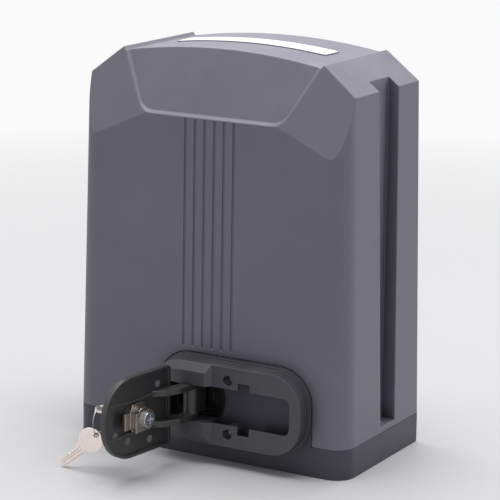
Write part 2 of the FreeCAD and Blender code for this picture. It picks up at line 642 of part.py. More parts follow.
def make_lever():
    body = new_body("ReleaseLever")
    outer = [("lever_left", "lever_low", "3"), ("lever_right", "lever_low", "lever_round"),
             ("lever_right", "lever_high", "lever_round"), ("lever_left", "lever_high", "3")]
    inner = [("lever_left + rim_wide", "lever_low + rim_wide"),
             ("lever_right - rim_wide", "lever_low + rim_wide", "lever_round - rim_wide"),
             ("lever_right - rim_wide", "lever_high - rim_wide", "lever_round - rim_wide"),
             ("lever_left + rim_wide", "lever_high - rim_wide")]
    plate = draw(body, "LeverFace", "XZ_Plane", [outer], lift=outward("plateau_proud"))
    pad(body, "LeverPlate", plate, "lever_plate", backward=True)
    rim = draw(body, "RimFace", "XZ_Plane", [outer, inner], lift=outward("plateau_proud - lever_plate"))
    pad(body, "LeverRim", rim, "lever_rim - lever_plate", backward=True)
    boss = draw(body, "LockBossFace", "XZ_Plane", [("circle", "lock_x", "lock_z", "lock_radius + 4")],
                lift=outward("plateau_proud - lever_plate"))
    pad(body, "LockBoss", boss, "1.2", backward=True)
    for side in (-1, 1):
        rib_to_lock(body, side)
    arm = [("lever_left + 0.5", arm_y("19.1")), ("lever_left + 22", arm_y("19.1")),
           ("lever_left + 13", arm_y("12"), "6"), ("lever_left - 1", arm_y("7"), "9"),
           ("pin_x", arm_y("pin_out - barrel_radius + 0.2")),
           ("pin_x", arm_y("pin_out + barrel_radius - 0.2")),
           ("lever_left - 9", arm_y("16"), "4")]
    for side in (-1, 1):
        level = "axle_z + %d * arm_z" % side
        plan = draw(body, "Arm%s" % ("High" if side > 0 else "Low"), "XY_Plane", [arm], lift=level)
        pad(body, "LeverArm%s" % ("High" if side > 0 else "Low"), plan, "arm_thick", both=True)
    middle = "axle_z"
    pin_y = FRONT + " - pin_out"
    barrel = draw(body, "BarrelPlan", "XY_Plane", [("circle", "pin_x", pin_y, "barrel_radius")],
                  lift=middle)
    pad(body, "LeverBarrel", barrel, "2 * arm_z + arm_thick", both=True)
    nose = rectangle("pin_x - nose_reach - nose_radius", pin_y + " - nose_radius",
                     "pin_x", pin_y + " + nose_radius", "nose_radius - 0.01")
    pad(body, "LeverNose", draw(body, "NosePlan", "XY_Plane", [nose], lift=middle),
        "2 * arm_z - arm_thick", both=True)
    hole = draw(body, "PinHolePlan", "XY_Plane", [("circle", "pin_x", pin_y, "pin_radius + running")],
                lift=middle)
    pocket(body, "PinHole", hole, "4 * arm_z", both=True)
    seat = draw(body, "LockSeatFace", "XZ_Plane", [("circle", "lock_x", "lock_z", "lock_radius")],
                lift=outward("plateau_proud + 1"))
    pocket(body, "LockSeat", seat, "10")
    swing_open(body)
    return node("release_lever", body)


def arm_y(out):
    return "-base_deep / 2 - (%s)" % out


def rib_to_lock(body, side):
    """A rib that runs from an arm, closes in on the lock's nut and goes on past it to the rim."""
    word = "High" if side > 0 else "Low"
    root, tip = "lock_z + %d * 14.5" % side, "lock_z + %d * (lock_radius + 3.6)" % side
    run = [("lever_left + 2", root), ("lock_x - 24", root), ("lock_x - 12", tip), ("lock_x + 12", tip),
           ("lock_x + 20", root), ("lever_right - 5", root)]
    rib = [(x, z + " - rib_wide / 2") for x, z in run]
    rib += [(x, z + " + rib_wide / 2") for x, z in reversed(run)]
    face = draw(body, "RibFace" + word, "XZ_Plane", [rib], lift=outward("plateau_proud - lever_plate"))
    return pad(body, "Rib" + word, face, "rib_tall", backward=True)


def make_lock():
    """The cam lock in the lever: body, nut, turning plug, cranked cam and its screw."""
    def turned(name, loops, out, depth):
        body = new_body(name)
        pad(body, name + "Pad", draw(body, name + "Face", "XZ_Plane", loops, lift=outward(out)), depth,
            backward=True)
        return body
    hub = ("lock_x", "lock_z")
    shell = turned("LockBody", [("circle",) + hub + ("lock_radius + 2.5",)], "plateau_proud + 1.2", "1.2")
    neck = draw(shell, "LockNeckFace", "XZ_Plane", [("circle",) + hub + ("lock_radius",)],
                lift=outward("plateau_proud"))
    pad(shell, "LockNeck", neck, "13.5", backward=True)
    bore = draw(shell, "LockBoreFace", "XZ_Plane", [("circle",) + hub + ("plug_radius + running",)],
                lift=outward("plateau_proud + 2"))
    pocket(shell, "LockBore", bore, "20")
    node("lock_body", swing_open(shell))

    nut = new_body("LockNut")
    corners = [("lock_x + %.4f * (lock_radius + 4)" % math.cos(math.radians(60 * step)),
                "lock_z + %.4f * (lock_radius + 4)" % math.sin(math.radians(60 * step))) for step in range(6)]
    hexagon = draw(nut, "NutFace", "XZ_Plane", [corners, ("circle",) + hub + ("lock_radius",)],
                   lift=outward("plateau_proud - lever_plate - 1.2"))
    pad(nut, "Nut", hexagon, "3", backward=True)
    node("lock_nut", swing_open(nut))

    plug = turned("LockPlug", [("circle",) + hub + ("plug_radius",)], "plateau_proud + 1.2", "15.7")
    keyway = rectangle("lock_x - blade_half - 0.2", "lock_z - key_thick / 2 - 0.15",
                       "lock_x + blade_half + 0.2", "lock_z + key_thick / 2 + 0.15")
    pocket(plug, "Keyway",
           draw(plug, "KeywayFace", "XZ_Plane", [keyway], lift=outward("plateau_proud + 2")),
           "plateau_proud + 2.5 - (bow_out - key_long)")
    node("lock_plug", swing_open(plug))

    cam = turned("LockCam", [cam_outline()], "7.5", "2.5")
    wall = draw(cam, "CamWallFace", "XZ_Plane", [cam_tab("11.5", "14")], lift=outward("13.4"))
    pad(cam, "CamWall", wall, "6", backward=True)
    tab = draw(cam, "CamTabFace", "XZ_Plane", [cam_tab("11.5", "21")], lift=outward("13.4"))
    pad(cam, "CamTab", tab, "2.4", backward=True)
    eye = draw(cam, "CamEyeFace", "XZ_Plane", [("circle",) + hub + ("2.4",)], lift=outward("8"))
    pocket(cam, "CamEye", eye, "4")
    node("lock_cam", swing_open(cam))
    head = screw("CamScrewParts", "lock_x", FRONT + " - 2.1", "lock_z", "6.6", "2.9", "2.4", "2.4", "Y", -1)
    shift = doc.addObject("Part::Compound", "CamScrew")
    shift.Links = [head]
    node("cam_screw", swing_open(shift))


def cam_outline():
    """The cam's flat part: it widens from round the plug to the cranked end."""
    return [("lock_x - 8.5", "lock_z - 8.5", "6"), ("lock_x + 14", "lock_z - 9.5"),
            ("lock_x + 14", "lock_z + 7"), ("lock_x - 8.5", "lock_z + 8.5", "6")]


def cam_tab(near, far):
    return rectangle("lock_x + " + near, "lock_z - 7", "lock_x + " + far, "lock_z + 7")


def key_form(name):
    """A flat key about its bow's middle: the blade points along +X, the thickness is along Z."""
    body = new_body(name)
    bow = draw(body, name + "BowPlan", "XY_Plane", [("circle", "0", "0", "bow_radius")])
    pad(body, name + "Bow", bow, "key_thick", both=True)
    blade = [("bow_radius - 3", "-blade_half - 1.5"), ("bow_radius + 3", "-blade_half - 1.5"),
             ("bow_radius + 3", "-blade_half")]
    cuts = 5
    for number in range(cuts):
        start = "bow_radius + 6 + %d * 3.4" % number
        blade += [(start, "-blade_half"),
                  (start + " + 1", "-blade_half + %.1f" % (0.7 + 0.5 * (number % 3))),
                  (start + " + 1.6", "-blade_half + %.1f" % (0.7 + 0.5 * (number % 3))),
                  (start + " + 2.6", "-blade_half")]
    blade += [("key_long - 1.5", "-blade_half"), ("key_long", "-blade_half + 2"),
              ("key_long", "blade_half - 2"),
              ("key_long - 1.5", "blade_half"), ("bow_radius - 3", "blade_half")]
    pad(body, name + "Blade", draw(body, name + "BladePlan", "XY_Plane", [blade]), "key_thick", both=True)
    hole = draw(body, name + "HolePlan", "XY_Plane", [("circle", "-key_hole_back", "0", "key_hole")])
    pocket(body, name + "Hole", hole, "4 * key_thick", both=True)
    return body


def make_keys():
    key = key_form("Key")
    cosine, sine = "cos(open_angle * 1 deg)", "sin(open_angle * 1 deg)"
    key.setExpression(".Placement.Rotation.Angle", formula("(90 - open_angle) * 1 deg"))
    side, out = "(lock_x - pin_x)", "(bow_out - pin_out)"
    key.Placement = FreeCAD.Placement(Vector(), FreeCAD.Rotation(Vector(0, 0, 1), 1))
    place(key, "pin_x + %s * %s - %s * %s" % (side, cosine, out, sine),
          "%s - pin_out - %s * %s - %s * %s" % (FRONT, side, sine, out, cosine), "lock_z")
    node("key", key)

    loop = doc.addObject("Part::Torus", "KeyRing")
    bind(loop, Radius1="ring_radius", Radius2="wire_radius")
    place(loop, "ring_x", "ring_y", "ring_z",
          FreeCAD.Rotation(Vector(0, 0, 1), RING_ALONG.cross(Vector(0, 0, 1))))
    node("key_ring", loop)

    spare = key_form("SpareKey")
    across = SPARE_FACE.cross(SPARE_ALONG)
    turn = FreeCAD.Rotation(SPARE_ALONG, across, SPARE_FACE, "XZY")
    ride = SPARE_ALONG * size("key_hole_back + key_hole - wire_radius - 0.15")
    hang = RING_ALONG * (size("ring_radius") * math.cos(math.radians(RING_HANG)))
    low = size("ring_radius") * math.sin(math.radians(RING_HANG))
    place(spare, "ring_x + %.4f" % (hang.x + ride.x), "ring_y + %.4f" % (hang.y + ride.y),
          "ring_z + %.4f" % (low + ride.z), turn)
    node("spare_key", spare)


RING_ALONG = Vector(-0.146, 0.989, 0).normalize()
RING_HANG = 266
SPARE_ALONG = Vector(-0.703, -0.183, -0.6865).normalize()
SPARE_LOOK = Vector(0.48, -0.848, 0.2245)
SPARE_FACE = (SPARE_LOOK - SPARE_ALONG * SPARE_LOOK.dot(SPARE_ALONG)).normalize()


# ---------------------------------------------------------------- output shaft, clutch and pinion
def bearing(name, outer, inner, wide, x, y, z, axis):
    """A sealed ball bearing: rings with a shield sunk between them on both sides."""
    body = ring(name + "Rings", outer, inner, wide, x, y, z, axis)
    grooves = []
    band_out = "%s - 0.22 * (%s - %s)" % (outer, outer, inner)
    band_in = "%s + 0.22 * (%s - %s)" % (inner, outer, inner)
    for number, start in enumerate(("-0.2", "%s - 0.6" % wide)):
        spot = {"X": x, "Y": y, "Z": z}
        spot[axis] = "%s + %s" % (spot[axis], start)
        grooves.append(ring("%sGroove%d" % (name, number), band_out, band_in, "0.8",
                            spot["X"], spot["Y"], spot["Z"], axis))
    return cut(name, body, *grooves)


def along(name, radius, start, end):
    """A bar on the output axis between two depths."""
    return cylinder(name, radius, "(%s) - (%s)" % (end, start), "axle_x", start, "axle_z", "Y")


def make_output():
    y_front = "wheel_room_front - bearing_wide"
    node("front_bearing", bearing("FrontBearing", "bearing_out", "journal + running", "bearing_wide",
                                  "axle_x", y_front, "axle_z", "Y"))
    node("rear_bearing", bearing("RearBearing", "bearing_out", "journal + running", "bearing_wide",
                                 "axle_x", "case_rear", "axle_z", "Y"))
    node("shaft_seal", ring("ShaftSeal", "16", "journal + running", "4", "axle_x", "65", "axle_z", "Y"))
    sleeve = ring("ClutchSleeve", "bore_radius", "pusher_radius + running", "25", "axle_x",
                  FRONT + " + 0.3", "axle_z", "Y")
    node("clutch_sleeve", sleeve)
    disc = along("PusherDisc", "pusher_radius", "pusher_front", "pusher_front + pusher_thick")
    stem = along("PusherStem", "stem_radius", "pusher_front + pusher_thick", "rod_front - 0.1")
    dish = along("PusherDish", "pusher_radius - 5", "pusher_front - 1", "pusher_front + 1.5")
    button = along("PusherButton", "9", "pusher_front", "pusher_front + 2")
    node("release_pusher",
         cut("PusherCut", fuse("PusherBody", disc, stem), cut("PusherGroove", dish, button)))

    steps = [along("ShaftFront", "journal", "shaft_front", "wheel_room_front"),
             along("ShaftMiddle", "shaft_radius", "wheel_room_front", "case_rear"),
             along("ShaftRear", "journal", "case_rear", "shaft_rear")]
    bore = along("ShaftBore", "rod_radius + running", "shaft_front - 1", "36")
    slot = box("ShaftSlot", "axle_x - 20", "axle_x + 20", "26.5 - clutch_travel - 2.7", "26.5 + 2.7",
               "axle_z - 2.6", "axle_z + 2.6")
    keyway = box("ShaftKeyway", "axle_x - 3", "axle_x + 3", "pinion_y", "pinion_y + pinion_wide + 4",
                 "axle_z + journal - 3.5", "axle_z + journal + 1")
    tapped = along("ShaftTapping", "3.4", "shaft_rear - 18", "shaft_rear + 1")
    node("output_shaft", cut("OutputShaft", fuse("ShaftSteps", *steps), bore, slot, keyway, tapped))
    node("shaft_key",
         box("ShaftKey", "axle_x - 3", "axle_x + 3", "pinion_y + 1", "pinion_y + pinion_wide - 1",
                          "axle_z + journal - 3.5", "axle_z + journal + 2.5"))
    node("pinion", make_pinion())
    washer = ring("PinionWasher", "14", "3.4", "2", "axle_x", "shaft_rear", "axle_z", "Y")
    node("pinion_washer", washer)
    node("pinion_bolt", hex_bolt("PinionBolt", "shaft_rear + 2", "6.5", "5.3", "3.4", "19"))

    dog = ring("DogRing", "20", "shaft_radius + running", "10", "axle_x", "21.5", "axle_z", "Y")
    teeth = [dog_tooth("DogTooth%d" % step, 90 * step, "16.5", "6") for step in range(4)]
    pin_hole = cylinder("DogPinHole", "2.5", "44", "axle_x - 22", "26.5", "axle_z", "X")
    node("clutch_dog", cut("ClutchDog", fuse("DogSolid", dog, *teeth), pin_hole))
    rod = along("PushRodBar", "rod_radius", "rod_front", "34")
    node("push_rod", cut("PushRod", rod, cylinder("RodPinHole", "2.5", "20", "axle_x - 10", "26.5",
                                                  "axle_z", "X")))
    node("cross_pin", cylinder("CrossPin", "2.5", "38", "axle_x - 19", "26.5", "axle_z", "X"))


def dog_tooth(name, angle, start, long):
    """One of the four teeth of the dog clutch: a piece of a ring sector."""
    tooth = doc.addObject("Part::Box", name)
    bind(tooth, Length="5", Width=long, Height="6")
    spin = FreeCAD.Rotation(Vector(0, 1, 0), angle)
    corner = spin.multVec(Vector(13.8, 0, -3))
    return place(tooth, "axle_x + %.4f" % corner.x, start, "axle_z + %.4f" % corner.z, spin)


def hex_bolt(name, start, head, tall, shank, long):
    """A hexagon-headed bolt on the output axis that points back into the shaft."""
    body = new_body(name)
    corners = [("axle_x + %.4f * %s" % (math.cos(math.radians(60 * step)), head),
                "axle_z + %.4f * %s" % (math.sin(math.radians(60 * step)), head)) for step in range(6)]
    face = draw(body, name + "Face", "XZ_Plane", [corners], lift="-(%s)" % start)
    pad(body, name + "Head", face, tall, backward=True)
    stem = draw(body, name + "Stem", "XZ_Plane", [("circle", "axle_x", "axle_z", shank)],
                lift="-(%s)" % start)
    pad(body, name + "Shank", stem, long)
    return body


# ---------------------------------------------------------------- gears
def involute_outline(module, teeth, backlash, turn=0.0, centre=(0, 0)):
    """A spur gear's outline in the XZ plane: involute flanks between the tip and root circles."""
    pitch = module * teeth / 2
    base = pitch * math.cos(math.radians(20))
    tip, root = pitch + module, pitch - 1.25 * module
    half = math.pi / (2 * teeth) - backlash / (2 * pitch) + math.tan(math.radians(20)) - math.radians(20)
    def flank(radius):
        roll = math.acos(min(1, base / radius))
        return half - (math.tan(roll) - roll)
    start = max(base, root)
    radii = [start, (start + tip) / 2, tip]
    def point(radius, angle):
        return Vector(centre[0] + radius * math.cos(angle), 0, centre[1] + radius * math.sin(angle))
    edges = []
    for tooth in range(teeth):
        middle = turn + 2 * math.pi * tooth / teeth
        rise = [point(radius, middle - flank(radius)) for radius in radii]
        fall = [point(radius, middle + flank(radius)) for radius in reversed(radii)]
        foot = point(root, middle - half * 1.02)
        heel = point(root, middle + half * 1.02)
        following = point(root, middle + 2 * math.pi / teeth - half * 1.02)
        edges += [Part.makeLine(foot, rise[0]), Part.Arc(*rise).toShape(), Part.makeLine(rise[-1], fall[0]),
                  Part.Arc(*fall).toShape(), Part.makeLine(fall[-1], heel), Part.makeLine(heel, following)]
    return Part.Wire(edges)


def make_pinion():
    centre = (size("axle_x"), size("axle_z"))
    wire = involute_outline(size("pinion_module"), int(size("pinion_teeth")), 0.3, math.pi / 16, centre)
    rim = doc.addObject("Part::Feature", "PinionRim")
    rim.Shape = Part.Face(wire).extrude(Vector(0, size("pinion_wide"), 0))
    place(rim, "0", "pinion_y", "0")
    bore = along("PinionBore", "journal", "pinion_y - 5", "pinion_y + pinion_wide + 1")
    keyway = box("PinionKeyway", "axle_x - 3", "axle_x + 3", "pinion_y - 5", "pinion_y + pinion_wide + 1",
                 "axle_z", "axle_z + journal + 2.5")
    collar = along("PinionCollar", "16", "pinion_y - 4", "pinion_y")
    return cut("Pinion", fuse("PinionBlank", rim, collar), bore, keyway)


def make_worm_gear():
    module, teeth = size("worm_module"), int(size("wheel_teeth"))
    lead = module / (2 * size("worm_pitch_radius"))
    pitch = module * teeth / 2
    twist = size("wheel_wide") / 2 * lead / pitch
    half_tooth = math.pi / teeth
    front = size("worm_y - wheel_wide / 2")
    profiles = []
    for place_y, turn in ((front, twist), (front + size("wheel_wide"), -twist)):
        wire = involute_outline(module, teeth, 0.5, math.pi + half_tooth + turn)
        wire.translate(Vector(0, place_y, 0))
        profiles.append(wire)
    rim = doc.addObject("Part::Feature", "WheelRim")
    rim.Shape = Part.makeLoft(profiles, True, True)
    place(rim, "axle_x", "0", "axle_z")
    hub = along("WheelHub", "23", "wheel_room_front + 1", "0")
    bore = along("WheelBore", "shaft_radius + running", "wheel_room_front", "20")
    pockets = [dog_room("DogRoom%d" % step, 90 * step) for step in range(4)]
    return node("worm_wheel", cut("WormWheel", fuse("WheelBlank", rim, hub), bore, *pockets))


def dog_room(name, angle):
    """The pocket in the wheel that a clutch tooth drops into, with room to turn in."""
    room = doc.addObject("Part::Box", name)
    bind(room, Length="7", Width="6", Height="11.6")
    spin = FreeCAD.Rotation(Vector(0, 1, 0), angle)
    corner = spin.multVec(Vector(12.8, 0, -5.8))
    return place(room, "axle_x + %.4f" % corner.x, "11", "axle_z + %.4f" % corner.z, spin)


def make_worm():
    """The worm on the motor shaft: one start, its thread built from flat-sided steps round the core."""
    module = size("worm_module")
    pitch = math.pi * module
    middle = size("worm_pitch_radius")
    tip, root = middle + module, middle - 1.2 * module
    half = pitch / 4 - 0.25
    slope = math.tan(math.radians(20))
    turns, steps = 4, 16
    sections = []
    for step in range(turns * steps + 1):
        angle = 2 * math.pi * (step / steps - turns / 2)
        height = size("axle_z") + pitch * angle / (2 * math.pi)
        corners = []
        for radius, side in ((root - 0.5, -1), (tip, -1), (tip, 1), (root - 0.5, 1)):
            rise = side * (half - (radius - middle) * slope)
            corners.append(Vector(radius * math.cos(angle), radius * math.sin(angle), height + rise))
        sections.append(Part.makePolygon(corners + corners[:1]))
    thread = doc.addObject("Part::Feature", "WormThread")
    thread.Shape = Part.makeLoft(sections, True, True)
    place(thread, "worm_x", "worm_y", "0")
    core = cylinder("WormCore", "worm_pitch_radius - 1.2 * worm_module", "worm_tall", "worm_x", "worm_y",
                    "worm_low")
    bore = cylinder("WormBore", "6", "worm_tall + 2", "worm_x", "worm_y", "worm_low - 1")
    return node("worm", cut("Worm", fuse("WormBlank", core, thread), bore))


# ---------------------------------------------------------------- motor
def upright_bar(name, radius, low, high):
    return cylinder(name, radius, "(%s) - (%s)" % (high, low), "worm_x", "worm_y", low)


def make_motor():
    node("lower_rotor_bearing", bearing("LowerRotorBearing", "11", "4 + running", "7",
                                        "worm_x", "worm_y", "8", "Z"))
    node("middle_rotor_bearing", bearing("MiddleRotorBearing", "worm_room", "8.5 + running", "10",
                                         "worm_x", "worm_y", "88", "Z"))
    node("upper_rotor_bearing", bearing("UpperRotorBearing", "14", "6 + running", "8",
                                        "worm_x", "worm_y", "motor_high - 10", "Z"))
    shaft = [upright_bar("RotorStep0", "4", "8", "16"), upright_bar("RotorStep1", "6", "16", "78"),
             upright_bar("RotorStep2", "8.5", "78", "110"), upright_bar("RotorStep3", "7", "110", "188"),
             upright_bar("RotorStep4", "6", "188", "motor_high + 1")]
    node("rotor_shaft", fuse("RotorShaft", *shaft))
    node("rotor_core", ring("RotorCore", "rotor_radius", "7", "62", "worm_x", "worm_y", "118"))
    flange = cut("LowerShieldCut",
                 upright_bar("LowerShieldDisc", "stator_radius", "motor_low", "motor_low + 9"),
                 upright_bar("LowerShieldBore", "10", "motor_low - 1", "motor_low + 10"))
    node("lower_motor_shield", flange)
    node("stator_core",
         ring("StatorCore", "stator_radius - 2", "rotor_radius + 0.6", "56", "worm_x", "worm_y", "121"))
    windings = [ring("Winding%d" % number, "stator_radius - 9", "rotor_radius + 2", "9", "worm_x", "worm_y",
                     low)
                for number, low in enumerate(("111", "178"))]
    node("stator_windings", fuse("StatorWindings", *windings))
    node("motor_can", ring("MotorCan", "stator_radius", "stator_radius - 2", "80", "worm_x", "worm_y",
                           "motor_low + 9"))
    top = cut("UpperShieldCut", upright_bar("UpperShieldDisc", "stator_radius", "189", "motor_high + 3"),
              upright_bar("UpperShieldSeat", "14", "188", "motor_high - 2"),
              upright_bar("UpperShieldBore", "8", "188", "motor_high + 1.5"))
    node("upper_motor_shield", top)


# ---------------------------------------------------------------- gearcase lid
def make_lid():
    body = new_body("GearcaseLid")
    plate = rectangle("case_left", "base_tall + 1", "case_right", "case_tall", "6")
    pad(body, "LidPlate", draw(body, "LidFace", "XZ_Plane", [plate], lift="-case_rear"), "8", backward=True)
    boss = draw(body, "LidBossFace", "XZ_Plane", [("circle", "axle_x", "axle_z", "26.5")],
                lift="-case_rear")
    pad(body, "LidBoss", boss, "base_deep / 2 - case_rear", backward=True)
    seat = draw(body, "LidSeatFace", "XZ_Plane", [("circle", "axle_x", "axle_z", "bearing_out")],
                lift="-case_rear + 1")
    pocket(body, "LidSeat", seat, "bearing_wide + 1")
    seal = draw(body, "LidSealFace", "XZ_Plane", [("circle", "axle_x", "axle_z", "16")], lift="-case_rear")
    pocket(body, "LidSealSeat", seal, "30")
    holes = [("circle", x, z, "2.6") for x, z in LID_SCREWS]
    hole_face = draw(body, "LidHoleFace", "XZ_Plane", holes, lift="-case_rear")
    pocket(body, "LidHoles", hole_face, "30")
    node("gearcase_lid", body)
    screws = [screw("LidScrew%d" % number, x, "case_rear + 11", z, "4.5", "3", "2.5", "16", "Y", -1)
              for number, (x, z) in enumerate(LID_SCREWS)]
    node("gearcase_screws", fuse("GearcaseScrews", *screws))


LID_SCREWS = [("case_left + 8", "base_tall + 9"), ("case_left + 8", "case_tall - 8"),
              ("case_right - 8", "base_tall + 9"), ("case_right - 8", "case_tall - 8")]


# ---------------------------------------------------------------- electrics
def make_electrics():
    """Control tray above the motor, board, transformer, capacitor, terminals and limit switch."""
    legs = [box("TrayLeg%d" % number, x, x + " + 3", "-40", "40", low, "222")
            for number, (x, low) in enumerate((("-112", "222 - 12"), ("46.5", "tub_floor")))]
    shelf = box("TrayShelf", "-112", "100", "-50", "50", "222", "225")
    foot = box("TrayFoot", "49.5", "58", "-40", "-10", "tub_floor", "tub_floor + 3")
    node("board_tray", fuse("BoardTray", shelf, foot, *legs))
    board = box("BoardSheet", "-100", "90", "-45", "45", "233", "234.6")
    posts = [cylinder("BoardPost%d" % number, "3", "8", x, y, "225")
             for number, (x, y) in enumerate((("-94", "-39"), ("84", "-39"), ("-94", "39"), ("84", "39")))]
    node("board_posts", fuse("BoardPosts", *posts))
    node("control_board", board)
    relays = [box("Relay%d" % number, "-80 + %d * 24" % number, "-62 + %d * 24" % number, "10", "38",
                  "234.6", "250") for number in range(3)]
    node("relays", fuse("Relays", *relays))
    blocks = [box("Terminal%d" % number, "-90 + %d * 42" % number, "-52 + %d * 42" % number, "-44", "-34",
                  "234.6", "247") for number in range(4)]
    node("terminal_blocks", fuse("TerminalBlocks", *blocks))
    core = box("TransformerCore", "60", "110", "-52", "-16", "tub_floor", "tub_floor + 66")
    coil = box("TransformerCoil", "68", "102", "-57", "-11", "tub_floor + 12", "tub_floor + 54")
    node("transformer", fuse("Transformer", core, coil))
    node("capacitor", cylinder("Capacitor", "19", "74", "80", "22", "130"))
    node("capacitor_clip", ring("CapacitorClip", "21", "19", "16", "80", "22", "150"))


make_base()
make_cover()
make_strip()
make_cover_screws()
make_frame()
make_frame_fixings()
make_lever()
make_lock()
make_keys()
make_output()
make_worm_gear()
make_worm()
make_motor()
make_lid()
make_electrics()

doc.recompute()
for thing in doc.Objects:
    if "Invalid" in thing.State or "Error" in thing.State:
        raise RuntimeError("%s failed: %s" % (thing.Name, thing.State))
os.makedirs("parts", exist_ok=True)
for name, thing in nodes.items():
    shape = thing.Shape
    if shape.isNull() or not shape.isValid():
        raise RuntimeError(name + " has no valid shape")
    shape.exportStep("parts/%s.step" % name)
    print("%-22s %9.1f cm3  %d solids" % (name, shape.Volume / 1000, len(shape.Solids)))
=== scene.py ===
"""Looks of the sliding gate motor: finishes, fine pieces and the studio that it stands in."""
import json
import math

import bpy
import numpy as np
from bpy.props import FloatProperty, FloatVectorProperty, IntProperty, PointerProperty
from mathutils import Matrix, Vector


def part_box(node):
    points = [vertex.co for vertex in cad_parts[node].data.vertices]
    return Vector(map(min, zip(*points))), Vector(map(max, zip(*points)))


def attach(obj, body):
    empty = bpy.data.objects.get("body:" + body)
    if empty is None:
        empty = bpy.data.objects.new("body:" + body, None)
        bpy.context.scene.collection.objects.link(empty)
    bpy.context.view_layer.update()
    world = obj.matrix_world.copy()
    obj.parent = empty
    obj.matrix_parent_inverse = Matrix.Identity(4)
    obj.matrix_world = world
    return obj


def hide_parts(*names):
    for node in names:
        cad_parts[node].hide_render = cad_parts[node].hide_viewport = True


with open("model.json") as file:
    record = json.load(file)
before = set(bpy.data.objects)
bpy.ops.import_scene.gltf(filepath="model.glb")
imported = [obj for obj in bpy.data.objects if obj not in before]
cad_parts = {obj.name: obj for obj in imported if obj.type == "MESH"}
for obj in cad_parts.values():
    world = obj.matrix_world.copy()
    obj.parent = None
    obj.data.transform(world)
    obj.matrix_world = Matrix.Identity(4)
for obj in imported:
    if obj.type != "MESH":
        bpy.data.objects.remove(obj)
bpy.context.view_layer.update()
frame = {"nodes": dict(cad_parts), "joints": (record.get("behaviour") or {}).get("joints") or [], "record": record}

bl_info = {
    "name": "Sliding gate motor looks",
    "version": (1, 0, 0),
    "blender": (4, 5, 0),
    "location": "View3D > Sidebar > Gate motor",
    "description": "Finishes, split ring, fine details and studio for the sliding gate motor",
    "category": "Object",
}

MM = 0.001
FULL_TURN = 2 * math.pi
UP = np.array((0.0, 0.0, 1.0))
SLOT_OF_NODE = {part["node"]: part["material_slot"] for part in frame["record"]["subparts"]}

# Tones of the mouldings, as factors on their own colour.
FLECK_TONES = (0.9, 1.1)
SMEAR_TONE = 1.06
# The darkest tone is painted shade, laid on corners and grooves where light is shut out.
PAINTED_SHADE_TONE = 0.12
DUST_COLOUR = (0.55, 0.54, 0.52, 1.0)

# The split ring: steps in one turn of the wire, and where and over how long the wire changes side.
RING_STEPS = 96
CROSSING_AT = 0.875 * FULL_TURN
CROSSING_LONG = 0.25 * FULL_TURN

# The keys: ribs across the blade as shares of its width, the gap before the tip, the length near
# each end in which the tip is told from the bow, and the length that gives the blade's middle.
RIB_PLACES = (-0.26, 0.1, 0.36)
RIB_GAP = 1.2 * MM
KEY_END = 3 * MM
BLADE_END = 12 * MM

# The release lever: how far it stands open at rest, and its ejector marks, each given along the
# front and in height with the lever closed.
LEVER_OPEN = math.radians(98)
LEVER_MARKS = ((0.030, 0.0745), (0.068, 0.0330), (0.040, 0.0285), (0.084, 0.0405))
MARK_CROWN = 0.35
MARK_ROOT = 0.2 * MM

# The studio: the floor's grid, where its shadow gives way to white, and the camera's place.
FLOOR_RINGS = 24
FLOOR_SIDES = 64
FLOOR_REACH = (0.05, 14.0)
FADE_REACH = (0.35, 1.6)
FAR_WHITE = (0.955, 0.955, 0.965, 1.0)
SURROUND_COLOUR = (0.97, 0.975, 1.0, 1.0)
SURROUND_STRENGTH = 0.5
CAMERA_PLACE = (0.95784, -1.69010, 0.61722)
CAMERA_RIGHT = (0.868404, 0.495595, 0.016155)
CAMERA_UPWARD = (-0.124948, 0.187177, 0.974347)


# ---------------------------------------------------------------- node helpers
def add_node(tree, kind, **settings):
    """A shader node of one kind with its plain properties set."""
    made = tree.nodes.new(kind)
    for name, value in settings.items():
        setattr(made, name, value)
    return made


def feed(tree, socket, value):
    """Link an output to a socket, or set the socket's own value."""
    if isinstance(value, bpy.types.NodeSocket):
        tree.links.new(value, socket)
    else:
        socket.default_value = value


def maths(tree, operation, first, second=0.0, third=0.0, clamp=False):
    """The result of one Math node."""
    made = add_node(tree, "ShaderNodeMath", operation=operation, use_clamp=clamp)
    for socket, value in zip(made.inputs, (first, second, third)):
        feed(tree, socket, value)
    return made.outputs[0]


def blend_colours(tree, share, first, second):
    """Two colours mixed by a share from 0 to 1."""
    made = add_node(tree, "ShaderNodeMix", data_type="RGBA", blend_type="MIX")
    feed(tree, made.inputs["Factor"], share)
    feed(tree, made.inputs[6], first)
    feed(tree, made.inputs[7], second)
    return made.outputs[2]


def noise(tree, place, scale, detail=2.0, roughness=0.5):
    """A cloud of noise from 0 to 1 over a place."""
    made = add_node(tree, "ShaderNodeTexNoise")
    feed(tree, made.inputs["Vector"], place)
    feed(tree, made.inputs["Scale"], scale)
    made.inputs["Detail"].default_value = detail
    made.inputs["Roughness"].default_value = roughness
    return made.outputs["Fac"]


def spread(tree, value, low, high, to_low=0.0, to_high=1.0):
    """A value's range stretched onto another, held at both ends."""
    made = add_node(tree, "ShaderNodeMapRange", clamp=True)
    for socket, number in zip(made.inputs, (value, low, high, to_low, to_high)):
        feed(tree, socket, number)
    return made.outputs[0]


def scaled(tree, place, along):
    """A place with each axis stretched, so that noise on it runs in lines."""
    made = add_node(tree, "ShaderNodeMapping")
    tree.links.new(place, made.inputs["Vector"])
    made.inputs["Scale"].default_value = along
    return made.outputs["Vector"]


def bump(tree, height, strength, distance, normal):
    """A normal roughened by a height, on top of another normal."""
    made = add_node(tree, "ShaderNodeBump")
    made.inputs["Strength"].default_value = strength
    made.inputs["Distance"].default_value = distance
    tree.links.new(height, made.inputs["Height"])
    tree.links.new(normal, made.inputs["Normal"])
    return made.outputs["Normal"]


